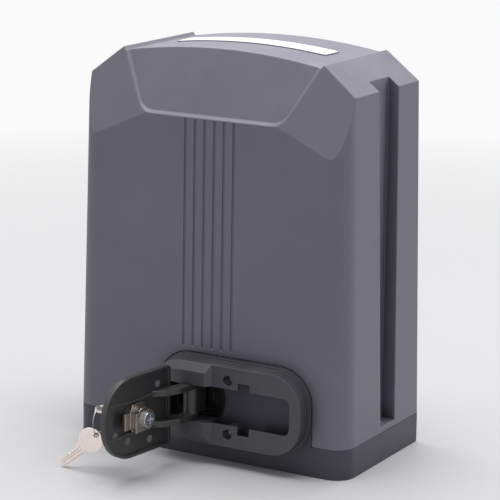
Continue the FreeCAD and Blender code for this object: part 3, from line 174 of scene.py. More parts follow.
def new_group(name, inputs, outputs):
    """An empty shader node group; inputs are (name, type, default), outputs (name, type)."""
    group = bpy.data.node_groups.new(name, "ShaderNodeTree")
    for label, kind, start in inputs:
        socket = group.interface.new_socket(name=label, in_out="INPUT", socket_type=kind)
        if start is not None:
            socket.default_value = start
    for label, kind in outputs:
        group.interface.new_socket(name=label, in_out="OUTPUT", socket_type=kind)
    given = add_node(group, "NodeGroupInput").outputs
    return group, given, add_node(group, "NodeGroupOutput").inputs


# ---------------------------------------------------------------- shared effects
def mould_grain():
    """The fine pitted skin that a spark-eroded mould leaves.

    Its height is 0.7 of a fine noise and 0.3 of one about four times as coarse.
    """
    group, given, out = new_group(
        "mould_grain",
        [("Place", "NodeSocketVector", None), ("Grain", "NodeSocketFloat", 1500.0)],
        [("Height", "NodeSocketFloat"), ("Fleck", "NodeSocketFloat")],
    )
    fine = noise(group, given["Place"], given["Grain"], 3.0, 0.6)
    coarse = noise(group, given["Place"], maths(group, "MULTIPLY", given["Grain"], 0.23), 2.0)
    height = maths(group, "ADD", maths(group, "MULTIPLY", fine, 0.7),
                   maths(group, "MULTIPLY", coarse, 0.3))
    group.links.new(height, out["Height"])
    group.links.new(spread(group, fine, 0.35, 0.65), out["Fleck"])
    return group


def soft_edges():
    """Rounded edges: a normal that turns over each edge, and a mask of where it turns.

    The mask is one less the cosine between the turned and the flat normal, times the gain.
    """
    group, given, out = new_group(
        "soft_edges",
        [("Radius", "NodeSocketFloat", 0.6 * MM), ("Gain", "NodeSocketFloat", 6.0)],
        [("Normal", "NodeSocketVector"), ("Edge", "NodeSocketFloat")],
    )
    round_off = add_node(group, "ShaderNodeBevel", samples=8)
    group.links.new(given["Radius"], round_off.inputs["Radius"])
    flat = add_node(group, "ShaderNodeNewGeometry").outputs["Normal"]
    facing = add_node(group, "ShaderNodeVectorMath", operation="DOT_PRODUCT")
    group.links.new(round_off.outputs[0], facing.inputs[0])
    group.links.new(flat, facing.inputs[1])
    turned = maths(group, "SUBTRACT", 1.0, facing.outputs["Value"])
    group.links.new(maths(group, "MULTIPLY", turned, given["Gain"], clamp=True), out["Edge"])
    group.links.new(round_off.outputs[0], out["Normal"])
    return group


def settled_dust():
    """Dust and faint smears: more on faces that look up, broken by clouds and fine specks."""
    group, given, out = new_group(
        "settled_dust",
        [("Place", "NodeSocketVector", None), ("Amount", "NodeSocketFloat", 0.2)],
        [("Dust", "NodeSocketFloat"), ("Smear", "NodeSocketFloat")],
    )
    facing = add_node(group, "ShaderNodeSeparateXYZ")
    flat = add_node(group, "ShaderNodeNewGeometry").outputs["Normal"]
    group.links.new(flat, facing.inputs[0])
    upward = spread(group, facing.outputs["Z"], 0.0, 1.0, 0.15, 1.0)
    cloud = spread(group, noise(group, given["Place"], 26.0, 4.0, 0.6), 0.38, 0.72)
    specks = spread(group, noise(group, given["Place"], 900.0, 1.0), 0.62, 0.75)
    both = maths(group, "ADD", maths(group, "MULTIPLY", cloud, 0.7),
                 maths(group, "MULTIPLY", specks, 0.5))
    lying = maths(group, "MULTIPLY", both, upward)
    group.links.new(maths(group, "MULTIPLY", lying, given["Amount"], clamp=True), out["Dust"])
    smear = spread(group, noise(group, given["Place"], 9.0, 2.0), 0.3, 0.7, -1.0, 1.0)
    group.links.new(smear, out["Smear"])
    return group


def painted_corner_shade():
    """Painted shade in corners and grooves: a share that grows where other surfaces stand close by."""
    group, given, out = new_group(
        "painted_corner_shade",
        [("Reach", "NodeSocketFloat", 20 * MM), ("Amount", "NodeSocketFloat", 0.5)],
        [("PaintedShade", "NodeSocketFloat")],
    )
    open_share = add_node(group, "ShaderNodeAmbientOcclusion", samples=8)
    group.links.new(given["Reach"], open_share.inputs["Distance"])
    closed_in = spread(group, open_share.outputs["AO"], 0.88, 0.35)
    group.links.new(maths(group, "MULTIPLY", closed_in, given["Amount"]), out["PaintedShade"])
    return group


def drawn_lines():
    """Brushing or drawing marks: noise on a place that is stretched along one axis."""
    group, given, out = new_group(
        "drawn_lines",
        [("Place", "NodeSocketVector", None), ("Fineness", "NodeSocketFloat", 900.0)],
        [("Height", "NodeSocketFloat"), ("Tone", "NodeSocketFloat")],
    )
    lines = noise(group, given["Place"], given["Fineness"], 3.0, 0.7)
    group.links.new(lines, out["Height"])
    group.links.new(spread(group, lines, 0.3, 0.7, -1.0, 1.0), out["Tone"])
    return group


EFFECTS = {}


def effect(tree, maker, **values):
    """A shared effect placed in a material, its group built only once."""
    if maker.__name__ not in EFFECTS:
        EFFECTS[maker.__name__] = maker()
    made = add_node(tree, "ShaderNodeGroup", node_tree=EFFECTS[maker.__name__])
    for name, value in values.items():
        feed(tree, made.inputs[name], value)
    return made.outputs


# ---------------------------------------------------------------- finishes
def new_finish(name):
    """A material with an empty tree but for its shader; returns it, its tree, shader and place."""
    finish = bpy.data.materials.new(name)
    finish.use_nodes = True
    tree = finish.node_tree
    tree.nodes.clear()
    shader = add_node(tree, "ShaderNodeBsdfPrincipled")
    ending = add_node(tree, "ShaderNodeOutputMaterial")
    tree.links.new(shader.outputs["BSDF"], ending.inputs["Surface"])
    place = add_node(tree, "ShaderNodeTexCoord").outputs["Object"]
    return finish, tree, shader, place


def tone(colour, factor):
    """A colour made lighter or darker."""
    return tuple(min(1.0, part * factor) for part in colour[:3]) + (1.0,)


def moulded(name, colour, rough=0.5, grain=1500.0, depth=0.05, dust=0.12, gloss=0.5, wear_and_highlight=1.5,
            soft=0.6, painted_shade=0.4):
    """Moulded plastic: fine grain, faint dust, painted shade in corners, a slightly paler rounded edge.

    The grain's depth and the soft edge's radius are in millimetres. The edge's tone is a factor
    on the colour for a paler edge, partly wear and partly painted highlight, and the last factor
    sets the painted shade in corners and grooves.
    """
    finish, tree, shader, place = new_finish(name)
    skin = effect(tree, mould_grain, Place=place, Grain=grain)
    edge = effect(tree, soft_edges, Radius=soft * MM)
    corner = effect(tree, painted_corner_shade, Amount=painted_shade)
    film = effect(tree, settled_dust, Place=place, Amount=dust)
    flecks = [tone(colour, factor) for factor in FLECK_TONES]
    flecked = blend_colours(tree, skin["Fleck"], *flecks)
    smear = spread(tree, film["Smear"], -1.0, 1.0)
    smeared = blend_colours(tree, smear, flecked, tone(colour, SMEAR_TONE))
    # Painted shade: the colour darkens where other surfaces stand close, in corners and grooves.
    with_painted_shade = blend_colours(tree, corner["PaintedShade"], smeared, tone(colour, PAINTED_SHADE_TONE))
    # A paler rounded edge: partly wear and partly a painted highlight.
    rub_and_highlight = maths(tree, "MULTIPLY", edge["Edge"], 0.5)
    rubbed_and_highlit = blend_colours(tree, rub_and_highlight, with_painted_shade, tone(colour, wear_and_highlight))
    dusty = blend_colours(tree, film["Dust"], rubbed_and_highlit, DUST_COLOUR)
    tree.links.new(dusty, shader.inputs["Base Color"])
    uneven = maths(tree, "MULTIPLY_ADD", film["Smear"], 0.03, rough)
    pitted = maths(tree, "MULTIPLY_ADD", skin["Fleck"], 0.06, uneven)
    tree.links.new(pitted, shader.inputs["Roughness"])
    shader.inputs["Specular IOR Level"].default_value = gloss
    relief = bump(tree, skin["Height"], 0.35, depth * MM, edge["Normal"])
    tree.links.new(relief, shader.inputs["Normal"])
    return finish


def metal(name, colour, rough=0.3, lines=(1, 1, 0.05), depth=0.01, shade=0.12, wear_and_highlight=1.2):
    """Bare or plated metal: drawn lines, uneven tone, brighter edges that are partly wear and partly painted
    highlight.

    Lines holds the marks' fineness along each axis, their depth is in millimetres, shade is how
    far their tone goes up and down, and the last factor is the edge's tone, partly wear and partly
    painted highlight.
    """
    finish, tree, shader, place = new_finish(name)
    marks = effect(tree, drawn_lines, Place=scaled(tree, place, lines))
    edge = effect(tree, soft_edges)
    film = effect(tree, settled_dust, Place=place)
    lined = blend_colours(tree, spread(tree, marks["Tone"], -1.0, 1.0), tone(colour, 1 - shade),
                          tone(colour, 1 + shade))
    # A brighter rounded edge: partly wear and partly a painted highlight.
    rub_and_highlight = maths(tree, "MULTIPLY", edge["Edge"], 0.6)
    bright = blend_colours(tree, rub_and_highlight, lined, tone(colour, wear_and_highlight))
    tree.links.new(bright, shader.inputs["Base Color"])
    shader.inputs["Metallic"].default_value = 1.0
    hazy = maths(tree, "MULTIPLY_ADD", film["Smear"], 0.05, rough)
    drawn = maths(tree, "MULTIPLY_ADD", marks["Tone"], 0.05, hazy)
    tree.links.new(drawn, shader.inputs["Roughness"])
    relief = bump(tree, marks["Height"], 0.25, depth * MM, edge["Normal"])
    tree.links.new(relief, shader.inputs["Normal"])
    return finish


def make_finishes(colours):
    """Every finish of the motor, by the slot that it belongs to."""
    finishes = {
        "cover_plastic": (moulded, {"colour": colours.cover_colour, "rough": 0.44,
                                    "grain": 1300.0, "depth": 0.06, "soft": 1.6, "painted_shade": 0.9}),
        "base_paint": (moulded, {"colour": colours.base_colour, "rough": 0.42, "grain": 420.0,
                                 "depth": 0.09, "dust": 0.14, "wear_and_highlight": 1.6}),
        "frame_plastic": (moulded, {"colour": colours.frame_colour, "rough": 0.42,
                                    "grain": 1700.0, "dust": 0.1, "gloss": 0.7, "wear_and_highlight": 2.0,
                                    "soft": 0.9}),
        "lever_plastic": (moulded, {"colour": colours.lever_colour, "rough": 0.4,
                                    "grain": 1900.0, "depth": 0.03, "dust": 0.1, "gloss": 0.7,
                                    "wear_and_highlight": 4.0, "soft": 0.9, "painted_shade": 0.7}),
        "strip_face": (moulded, {"colour": colours.strip_colour, "rough": 0.35, "grain": 2200.0,
                                 "depth": 0.02, "dust": 0.05, "wear_and_highlight": 1.0, "painted_shade": 0.2}),
        "zinc_steel": (metal, {"colour": (0.60, 0.63, 0.67), "rough": 0.24,
                               "lines": (0.3, 0.3, 0.3), "depth": 0.004, "shade": 0.04}),
        "lock_nickel": (metal, {"colour": (0.36, 0.32, 0.29), "lines": (0.5, 0.5, 0.1),
                                "depth": 0.004, "shade": 0.06, "wear_and_highlight": 2.2}),
        "key_metal": (metal, {"colour": colours.key_colour, "lines": (0.12, 0.12, 0.12),
                              "depth": 0.002, "shade": 0.02}),
        "gear_steel": (metal, {"colour": (0.42, 0.43, 0.45), "rough": 0.35,
                               "lines": (1, 0.05, 1), "depth": 0.012}),
        "black_steel": (metal, {"colour": (0.030, 0.030, 0.031), "rough": 0.42,
                                "lines": (1, 0.1, 1), "wear_and_highlight": 2.5}),
        "bearing_steel": (metal, {"colour": (0.55, 0.56, 0.58), "rough": 0.22,
                                  "lines": (1, 0.1, 1), "depth": 0.006}),
        "bronze": (metal, {"colour": (0.55, 0.34, 0.14), "rough": 0.33, "lines": (1, 0.08, 1),
                           "depth": 0.012}),
        "seal_rubber": (moulded, {"colour": (0.016, 0.016, 0.017), "rough": 0.65,
                                  "grain": 1200.0, "dust": 0.1}),
        "motor_aluminium": (metal, {"colour": (0.66, 0.67, 0.68), "rough": 0.38,
                                    "lines": (1, 1, 0.06), "depth": 0.015}),
        "winding_copper": (metal, {"colour": (0.72, 0.3, 0.13), "lines": (0.06, 0.06, 1),
                                   "depth": 0.05}),
        "circuit_board": (moulded, {"colour": (0.02, 0.12, 0.05), "rough": 0.35,
                                    "grain": 900.0, "depth": 0.02, "dust": 0.1}),
        "electric_plastic": (moulded, {"colour": (0.05, 0.09, 0.13), "rough": 0.45,
                                       "depth": 0.03, "dust": 0.1}),
        "capacitor_shell": (moulded, {"colour": (0.7, 0.7, 0.68), "rough": 0.35,
                                      "grain": 1600.0, "depth": 0.02, "dust": 0.1}),
    }
    return {name: make(name, **settings) for name, (make, settings) in finishes.items()}


# ---------------------------------------------------------------- skins from arrays
# A skin is three arrays: its points, its quads and the triangles of its caps.
def round_angles(count):
    """Angles that go once round, evenly, without the last one again."""
    return np.linspace(0, FULL_TURN, count, endpoint=False)


def unit(vectors):
    """Vectors, or one, brought to length one."""
    return vectors / np.linalg.norm(vectors, axis=-1, keepdims=True)


def oval(sides, half_wide, half_high):
    """An ellipse as a profile: half_wide cos a and half_high sin a, for a once round."""
    a = round_angles(sides)
    return np.stack([half_wide * np.cos(a), half_high * np.sin(a)], 1)


def grid_quads(count, sides):
    """The quads between rings of points: side j of ring i joins side j of the next ring."""
    step, turn = np.meshgrid(np.arange(count - 1), np.arange(sides), indexing="ij")
    following = (turn + 1) % sides
    return np.stack([step * sides + turn, step * sides + following,
                     (step + 1) * sides + following, (step + 1) * sides + turn],
                    -1).reshape(-1, 4)


def closed_skin(rings, first_point, last_point):
    """Rings of points sewn into a closed skin, with a fan about a point at both ends."""
    count, sides = rings.shape[:2]
    around = np.arange(sides)
    following = (around + 1) % sides
    end_row = (count - 1) * sides
    start = np.stack([np.full(sides, count * sides), following, around], 1)
    end = np.stack([np.full(sides, count * sides + 1), end_row + around, end_row + following], 1)
    points = np.concatenate([rings.reshape(-1, 3), [first_point], [last_point]])
    return points, grid_quads(count, sides), np.concatenate([start, end])


def swept_skin(path, first_way, second_way, profile):
    """A profile carried along a path, as one array.

    Point (i, j) is path_i + x_j * first_way_i + y_j * second_way_i; the profile is one (x, y) for
    each side, or one for each side and each step.
    """
    rings = (path[:, None, :] + profile[..., 0, None] * first_way[:, None, :]
             + profile[..., 1, None] * second_way[:, None, :])
    return closed_skin(rings, path[0], path[-1])


def rounded_bar(start, end, outward, wide, proud):
    """A long low rib with round ends.

    Along the run, u goes from 0 to pi and the rib's half width and height are both scaled by
    sin(u) to the power 0.15; across it, the profile is an ellipse, half of it under the surface.
    """
    u = np.linspace(0.0, math.pi, 12)
    share = np.sin(u).clip(1e-3) ** 0.15
    path = start + ((1 - np.cos(u)) / 2)[:, None] * (end - start)
    side = np.cross(unit(end - start), outward)
    profile = share[:, None, None] * oval(8, wide / 2, proud)
    return swept_skin(path, side[None], outward[None], profile)


def half_round_bar(path, wide, proud):
    """A low bar along a path that lies nearly level.

    Its profile is an ellipse between the level direction square to the path and the one square
    to both, so that its upper half stands above the path.
    """
    run = unit(np.gradient(path, axis=0))
    side = unit(np.cross(run, UP))
    return swept_skin(path, side, np.cross(side, run), oval(6, wide / 2, proud))


def joined(skins):
    """Several skins as one: each one's corners are counted on from the points before it."""
    before = np.cumsum([0] + [len(skin[0]) for skin in skins[:-1]])
    points = np.concatenate([skin[0] for skin in skins])
    quads, caps = (np.concatenate([skin[part] + count for skin, count in zip(skins, before)])
                   for part in (1, 2))
    return points, quads, caps


def new_mesh(name, skin, finish):
    """A mesh from a skin, with one finish."""
    points, quads, caps = skin
    mesh = bpy.data.meshes.new(name)
    mesh.from_pydata(points.tolist(), [], quads.tolist() + caps.tolist())
    mesh.materials.append(finish)
    return mesh


def stand(name, data):
    """An object that holds a mesh, a lamp or a camera, put into the scene."""
    made = bpy.data.objects.new(name, data)
    bpy.context.scene.collection.objects.link(made)
    return made


def mesh_piece(name, skin, slot, body):
    """A new smooth piece of the motor, carried by a body."""
    mesh = new_mesh(name, skin, bpy.data.materials[slot])
    mesh.shade_smooth()
    mesh.validate()
    piece = stand(name, mesh)
    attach(piece, body)
    return piece


def node_points(name):
    """Every corner of a CAD node, as one array in metres."""
    mesh = frame["nodes"][name].data
    flat = np.empty(3 * len(mesh.vertices))
    mesh.vertices.foreach_get("co", flat)
    return flat.reshape(-1, 3)


# ---------------------------------------------------------------- fine pieces
def split_ring_skin(sizes):
    """A flattened wire wound nearly twice round a circle, its two turns side by side.

    With t from 0 to 2 pi times the turns, the path is the ring's circle at angle t. It is set off
    along the ring's axis by a quarter of the wire's width, first to one side and, over a smooth
    crossing near the end of the first turn, then to the other.
    """
    low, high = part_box("key_ring")
    middle = np.array((low + high) / 2)
    along = np.array(Vector((high.x - low.x, low.y - high.y, 0)).normalized())
    axis = np.cross(along, UP)
    half_wire = sizes.wire / 2
    radius = (high.z - low.z) / 2 - half_wire
    t = np.linspace(0, FULL_TURN * sizes.turns, int(RING_STEPS * sizes.turns))
    crossing = np.clip((t - CROSSING_AT) / CROSSING_LONG, 0, 1)
    ease = 0.5 - 0.5 * np.cos(crossing * math.pi)
    shift = (ease - 0.5) * half_wire
    outward = np.cos(t)[:, None] * along + np.sin(t)[:, None] * UP
    path = middle + radius * outward + shift[:, None] * axis
    return swept_skin(path, outward, axis[None], oval(sizes.sides, half_wire, half_wire / 2))


def blade_ribs_skin(name, sizes):
    """The long ribs between the milled grooves on both faces of a key's blade.

    The key's own directions are the principal axes of its corners: the longest runs along the
    blade, the shortest is square to its flat faces. The tip is the narrower of the two ends.
    """
    points = node_points(name)
    middle = (points.max(0) + points.min(0)) / 2
    axes = np.linalg.svd(points - points.mean(0), full_matrices=False)[2]
    along, across, normal = axes
    run, width, height = ((points - middle) @ axes.T).T
    tip_is_high = (np.ptp(width[run > run.max() - KEY_END])
                   < np.ptp(width[run < run.min() + KEY_END]))
    tip = run.max() if tip_is_high else run.min()
    towards_bow = -along if tip_is_high else along
    near_tip = width[np.abs(run - tip) < BLADE_END]
    centre_line = (near_tip.max() + near_tip.min()) / 2
    half_thick = np.ptp(height) / 2
    level = (height.max() + height.min()) / 2
    ribs = []
    for face in (-1, 1):
        for place in RIB_PLACES:
            start = (middle + along * tip + across * (centre_line + place * sizes.blade_wide)
                     + normal * (level + face * half_thick) + towards_bow * RIB_GAP)
            end = start + towards_bow * sizes.rib_long
            ribs.append(rounded_bar(start, end, normal * face, sizes.rib_wide, sizes.rib_proud))
    return joined(ribs)


def lever_axes():
    """The open lever's own directions: towards its free end, and out of its face."""
    run = np.array((math.cos(LEVER_OPEN), -math.sin(LEVER_OPEN), 0.0))
    outward = np.array((-math.sin(LEVER_OPEN), -math.cos(LEVER_OPEN), 0.0))
    return run, outward


def lever_point(along, proud, level):
    """A place on the lever, given as it lies when closed: along the front, proud of it, high."""
    lever_turn = next(joint for joint in frame["joints"] if joint["name"] == "lever_turn")
    hinge = np.array(lever_turn["pos_m"]) * (1, 1, 0)
    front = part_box("base_housing")[0].y
    run, outward = lever_axes()
    return hinge + run * (along - hinge[0]) + outward * (proud - (front - hinge[1])) + UP * level


def ejector_mark_skin(centre, sizes):
    """A low dome on the lever's inner face, with a short root under it.

    At angle t its radius is R sin(t) and its height h cos(t). It starts a little off the pole,
    so that its crown is flat, and goes to pi / 2.
    """
    run, outward = lever_axes()
    t = np.linspace(MARK_CROWN, math.pi / 2, 5)[:, None, None]
    a = round_angles(24)[:, None]
    circle = np.cos(a) * run + np.sin(a) * UP
    dome = (centre + sizes.mark_radius * np.sin(t) * circle
            - sizes.mark_proud * np.cos(t) * outward)
    root = dome[-1:] + outward * MARK_ROOT
    return closed_skin(np.concatenate([dome, root]), dome[0].mean(0), root[0].mean(0))


def strip_rim_skin(sizes):
    """Four bars that hug the name strip's sides just under its top face.

    The top is an arc of radius (a^2 + d^2) / (2 d) for a half length a and a drop d at its ends.
    """
    points = node_points("name_strip")
    low, high = points.min(0), points.max(0)
    half = (high[0] - low[0]) / 2
    drop = high[2] - points[points[:, 0] > high[0] - 0.05 * MM][:, 2].max()
    radius = (half ** 2 + drop ** 2) / (2 * drop)
    set_off = sizes.rim_wide / 2
    x0, x1 = low[0] - set_off, high[0] + set_off
    y0, y1 = low[1] - set_off, high[1] + set_off
    corners = np.array([(x0, y0), (x1, y0), (x1, y1), (x0, y1), (x0, y0)])
    share = np.linspace(0, 1, 25)[:, None]
    bars = []
    for start, end in zip(corners[:-1], corners[1:]):
        path = start + share * (end - start)
        height = high[2] - radius + np.sqrt(radius ** 2 - path[:, 0] ** 2) - sizes.rim_below
        path = np.concatenate([path, height[:, None]], 1)
        bars.append(half_round_bar(path, sizes.rim_wide, sizes.rim_below - 0.05 * MM))
    return joined(bars)


# ---------------------------------------------------------------- studio
def floor_skin():
    """A round floor: radius and angle on a grid, closed at the middle by a fan of triangles."""
    radii = np.geomspace(*FLOOR_REACH, FLOOR_RINGS)
    ring, turn = np.meshgrid(radii, round_angles(FLOOR_SIDES), indexing="ij")
    grid = np.stack([ring * np.cos(turn), ring * np.sin(turn), np.zeros_like(ring)], -1)
    around = np.arange(FLOOR_SIDES)
    centre = np.full(FLOOR_SIDES, FLOOR_RINGS * FLOOR_SIDES)
    fan = np.stack([centre, around, (around + 1) % FLOOR_SIDES], 1)
    points = np.concatenate([grid.reshape(-1, 3), np.zeros((1, 3))])
    return points, grid_quads(FLOOR_RINGS, FLOOR_SIDES)[:, ::-1], fan


def floor_finish(colour):
    """A pale sweep: it holds the shadow near the motor and goes over into white further off."""
    finish, tree, shader, place = new_finish("studio_floor")
    shader.inputs["Roughness"].default_value = 0.6
    far = add_node(tree, "ShaderNodeVectorMath", operation="LENGTH")
    tree.links.new(place, far.inputs[0])
    cloud = noise(tree, place, 3.0, 1.0)
    tinted = blend_colours(tree, cloud, tone(colour, 0.99), tone(colour, 1.01))
    tree.links.new(tinted, shader.inputs["Base Color"])
    glow = add_node(tree, "ShaderNodeEmission")
    glow.inputs["Color"].default_value = FAR_WHITE
    seen = add_node(tree, "ShaderNodeLightPath").outputs["Is Camera Ray"]
    share = maths(tree, "MULTIPLY", spread(tree, far.outputs["Value"], *FADE_REACH), seen)
    mixed = add_node(tree, "ShaderNodeMixShader")
    tree.links.new(share, mixed.inputs[0])
    tree.links.new(shader.outputs["BSDF"], mixed.inputs[1])
    tree.links.new(glow.outputs["Emission"], mixed.inputs[2])
    ending = next(node for node in tree.nodes if node.bl_idname == "ShaderNodeOutputMaterial")
    tree.links.new(mixed.outputs[0], ending.inputs["Surface"])
    return finish


def make_world():
    """White where the camera looks past the floor, and a plain pale surround for all else."""
    world = bpy.data.worlds.new("studio")
    world.use_nodes = True
    bpy.context.scene.world = world
    tree = world.node_tree
    sky = tree.nodes["Background"]
    path = add_node(tree, "ShaderNodeLightPath")
    seen = maths(tree, "ADD", path.outputs["Is Camera Ray"], path.outputs["Is Transmission Ray"])
    shown = maths(tree, "ADD", seen, path.outputs["Is Glossy Ray"], clamp=True)
    sky.inputs["Color"].default_value = SURROUND_COLOUR
    strength = spread(tree, shown, 0.0, 1.0, SURROUND_STRENGTH, 1.0)
    tree.links.new(strength, sky.inputs["Strength"])


def soft_light(name, at, towards, wide, power):
    """A square soft light at a place, turned towards a point."""
    lamp = bpy.data.lights.new(name, "AREA")
    lamp.size = wide
    lamp.energy = power
    holder = stand(name, lamp)
    holder.location = at
    holder.rotation_euler = (Vector(towards) - Vector(at)).to_track_quat("-Z", "Y").to_euler()


def make_camera(lens):
    """A long lens from the front right, a little above."""
    eye = bpy.data.cameras.new("camera")
    eye.lens = lens
    eye.sensor_width = 36
    eye.clip_start, eye.clip_end = 0.05, 50
    holder = stand("camera", eye)
    right, upward = Vector(CAMERA_RIGHT), Vector(CAMERA_UPWARD)
    turned = Matrix((right, upward, right.cross(upward))).transposed().to_4x4()
    holder.matrix_world = Matrix.Translation(CAMERA_PLACE) @ turned
    bpy.context.scene.camera = holder


# ---------------------------------------------------------------- settings
class GateMotorColours(bpy.types.PropertyGroup):
    """Colours of the mouldings and metals."""

    cover_colour: FloatVectorProperty(
        name="Cover", description="Colour of the moulded cover",
        subtype="COLOR", size=3, min=0, max=1, default=(0.134, 0.130, 0.165))
    base_colour: FloatVectorProperty(
        name="Base", description="Colour of the painted casting",
        subtype="COLOR", size=3, min=0, max=1, default=(0.036, 0.035, 0.052))
    frame_colour: FloatVectorProperty(
        name="Frame", description="Colour of the release frame",
        subtype="COLOR", size=3, min=0, max=1, default=(0.038, 0.037, 0.046))
    lever_colour: FloatVectorProperty(
        name="Lever", description="Colour of the release lever",
        subtype="COLOR", size=3, min=0, max=1, default=(0.017, 0.017, 0.018))
    strip_colour: FloatVectorProperty(
        name="Strip", description="Colour of the bare name strip",
        subtype="COLOR", size=3, min=0, max=1, default=(0.72, 0.70, 0.74))
    key_colour: FloatVectorProperty(
        name="Keys", description="Colour of the keys' metal",
        subtype="COLOR", size=3, min=0, max=1, default=(0.93, 0.83, 0.77))


class GateMotorRing(bpy.types.PropertyGroup):
    """Sizes of the split ring that joins the keys."""

    wire: FloatProperty(
        name="Wire", description="Width of one turn of the ring",
        unit="LENGTH", subtype="DISTANCE", default=0.9 * MM)
    turns: FloatProperty(
        name="Turns", description="Turns of wire in the split ring", default=1.9, min=1.0)
    sides: IntProperty(
        name="Sides", description="Faces round the wire", default=14, min=6)


class GateMotorFine(bpy.types.PropertyGroup):
    """Sizes of the small details."""

    blade_wide: FloatProperty(
        name="Blade", description="Width of a key's blade",
        unit="LENGTH", subtype="DISTANCE", default=8 * MM)
    rib_long: FloatProperty(
        name="Rib length", description="Length of the ribs on a blade",
        unit="LENGTH", subtype="DISTANCE", default=23 * MM)
    rib_wide: FloatProperty(
        name="Rib width", description="Width of a rib on a blade",
        unit="LENGTH", subtype="DISTANCE", default=1.1 * MM)
    rib_proud: FloatProperty(
        name="Rib height", description="Height of a rib on a blade",
        unit="LENGTH", subtype="DISTANCE", default=0.22 * MM)
    lever_inside: FloatProperty(
        name="Lever inside",
        description="Place of the lever's inner face, out from the motor's front",
        unit="LENGTH", subtype="DISTANCE", default=19 * MM)
    mark_radius: FloatProperty(
        name="Mark radius", description="Radius of an ejector mark",
        unit="LENGTH", subtype="DISTANCE", default=3.2 * MM)
    mark_proud: FloatProperty(
        name="Mark height", description="Height of an ejector mark",
        unit="LENGTH", subtype="DISTANCE", default=0.08 * MM)
    rim_below: FloatProperty(
        name="Rim drop", description="How far the rim's middle lies under the strip's top",
        unit="LENGTH", subtype="DISTANCE", default=0.4 * MM)
    rim_wide: FloatProperty(
        name="Rim width", description="Width of the strip's rim",
        unit="LENGTH", subtype="DISTANCE", default=0.9 * MM)


class GateMotorStudio(bpy.types.PropertyGroup):
    """Floor, light and camera."""

    floor_colour: FloatVectorProperty(
        name="Floor", description="Colour of the floor near the motor",
        subtype="COLOR", size=3, min=0, max=1, default=(0.49, 0.485, 0.495))
    ceiling_light: FloatProperty(
        name="Ceiling light", description="Power of the soft light overhead",
        unit="POWER", default=46.0)
    side_light: FloatProperty(
        name="Side light", description="Power of the soft light at the right",
        unit="POWER", default=3.0)
    lens: FloatProperty(
        name="Lens", description="Focal length of the camera in millimetres",
        unit="CAMERA", default=164.5)


# ---------------------------------------------------------------- operators
class GATEMOTOR_OT_studio(bpy.types.Operator):
    """Set up the floor, the lights and the camera"""

    bl_idname = "gatemotor.studio"
    bl_label = "Studio"

    def execute(self, context):
        settings = context.scene.gate_motor_studio
        floor = stand("floor", new_mesh("floor", floor_skin(), floor_finish(settings.floor_colour)))
        make_world()
        soft_light("ceiling_light", at=(-0.05, 0.1, 1.85), towards=(0, 0, 0.2), wide=1.5,
                   power=settings.ceiling_light)
        soft_light("side_light", at=(1.2, 0.9, 0.4), towards=(0, 0, 0.15), wide=1.0,
                   power=settings.side_light)
        make_camera(settings.lens)
        context.scene.view_settings.view_transform = "Standard"
        return {"FINISHED"}


class GATEMOTOR_OT_finishes(bpy.types.Operator):
    """Give every part of the motor its finish"""

    bl_idname = "gatemotor.finishes"
    bl_label = "Finishes"

    def execute(self, context):
        made = make_finishes(context.scene.gate_motor_colours)
        for name, part in frame["nodes"].items():
            for slot in part.material_slots:
                slot.material = made[SLOT_OF_NODE[name]]
        return {"FINISHED"}


class GATEMOTOR_OT_split_ring(bpy.types.Operator):
    """Wind the split ring that the keys hang on"""

    bl_idname = "gatemotor.split_ring"
    bl_label = "Split ring"

    def execute(self, context):
        skin = split_ring_skin(context.scene.gate_motor_ring)
        piece = mesh_piece("split_ring", skin, "zinc_steel", "ring")
        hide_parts("key_ring")
        return {"FINISHED"}


class GATEMOTOR_OT_blade_ribs(bpy.types.Operator):
    """Raise the long ribs between the milled grooves on both keys' blades"""

    bl_idname = "gatemotor.blade_ribs"
    bl_label = "Blade ribs"

    def execute(self, context):
        for name, body in (("spare_key", "spare"), ("key", "key_in_lock")):
            skin = blade_ribs_skin(name, context.scene.gate_motor_fine)
            mesh_piece(name + "_ribs", skin, "key_metal", body)
        return {"FINISHED"}


class GATEMOTOR_OT_ejector_marks(bpy.types.Operator):
    """Raise the round ejector marks on the lever's inner face"""

    bl_idname = "gatemotor.ejector_marks"
    bl_label = "Ejector marks"

    def execute(self, context):
        sizes = context.scene.gate_motor_fine
        marks = [ejector_mark_skin(lever_point(along, sizes.lever_inside, level), sizes)
                 for along, level in LEVER_MARKS]
        mesh_piece("ejector_marks", joined(marks), "frame_plastic", "lever")
        return {"FINISHED"}


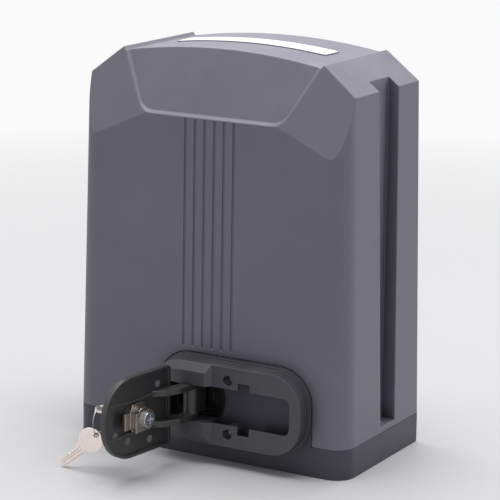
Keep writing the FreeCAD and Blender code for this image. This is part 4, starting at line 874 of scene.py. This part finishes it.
class GATEMOTOR_OT_strip_rim(bpy.types.Operator):
    """Lay a fine raised rim round the bare name strip"""

    bl_idname = "gatemotor.strip_rim"
    bl_label = "Strip rim"

    def execute(self, context):
        skin = strip_rim_skin(context.scene.gate_motor_fine)
        mesh_piece("strip_rim", skin, "cover_plastic", "housing")
        return {"FINISHED"}


SETTINGS = {"gate_motor_colours": GateMotorColours, "gate_motor_ring": GateMotorRing,
            "gate_motor_fine": GateMotorFine, "gate_motor_studio": GateMotorStudio}
STEPS = (GATEMOTOR_OT_studio, GATEMOTOR_OT_finishes, GATEMOTOR_OT_split_ring,
         GATEMOTOR_OT_blade_ribs, GATEMOTOR_OT_ejector_marks, GATEMOTOR_OT_strip_rim)


class GATEMOTOR_PT_looks(bpy.types.Panel):
    """Settings and steps of the motor's looks"""

    bl_idname = "GATEMOTOR_PT_looks"
    bl_label = "Gate motor"
    bl_space_type = "VIEW_3D"
    bl_region_type = "UI"
    bl_category = "Gate motor"

    def draw(self, context):
        for group in SETTINGS:
            settings = getattr(context.scene, group)
            for name in settings.__annotations__:
                self.layout.prop(settings, name)
        for step in STEPS:
            self.layout.operator(step.bl_idname)


def register():
    """Add the settings, the steps and the panel to Blender."""
    for name, group in SETTINGS.items():
        bpy.utils.register_class(group)
        setattr(bpy.types.Scene, name, PointerProperty(type=group))
    for shown in (*STEPS, GATEMOTOR_PT_looks):
        bpy.utils.register_class(shown)


def unregister():
    """Take the panel, the steps and the settings out again."""
    for shown in (GATEMOTOR_PT_looks, *reversed(STEPS)):
        bpy.utils.unregister_class(shown)
    for name, group in SETTINGS.items():
        delattr(bpy.types.Scene, name)
        bpy.utils.unregister_class(group)


def main():
    """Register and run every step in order."""
    register()
    bpy.ops.gatemotor.studio()
    bpy.ops.gatemotor.finishes()
    bpy.ops.gatemotor.split_ring()
    bpy.ops.gatemotor.blade_ribs()
    bpy.ops.gatemotor.ejector_marks()
    bpy.ops.gatemotor.strip_rim()


if __name__ == "__main__":
    main()
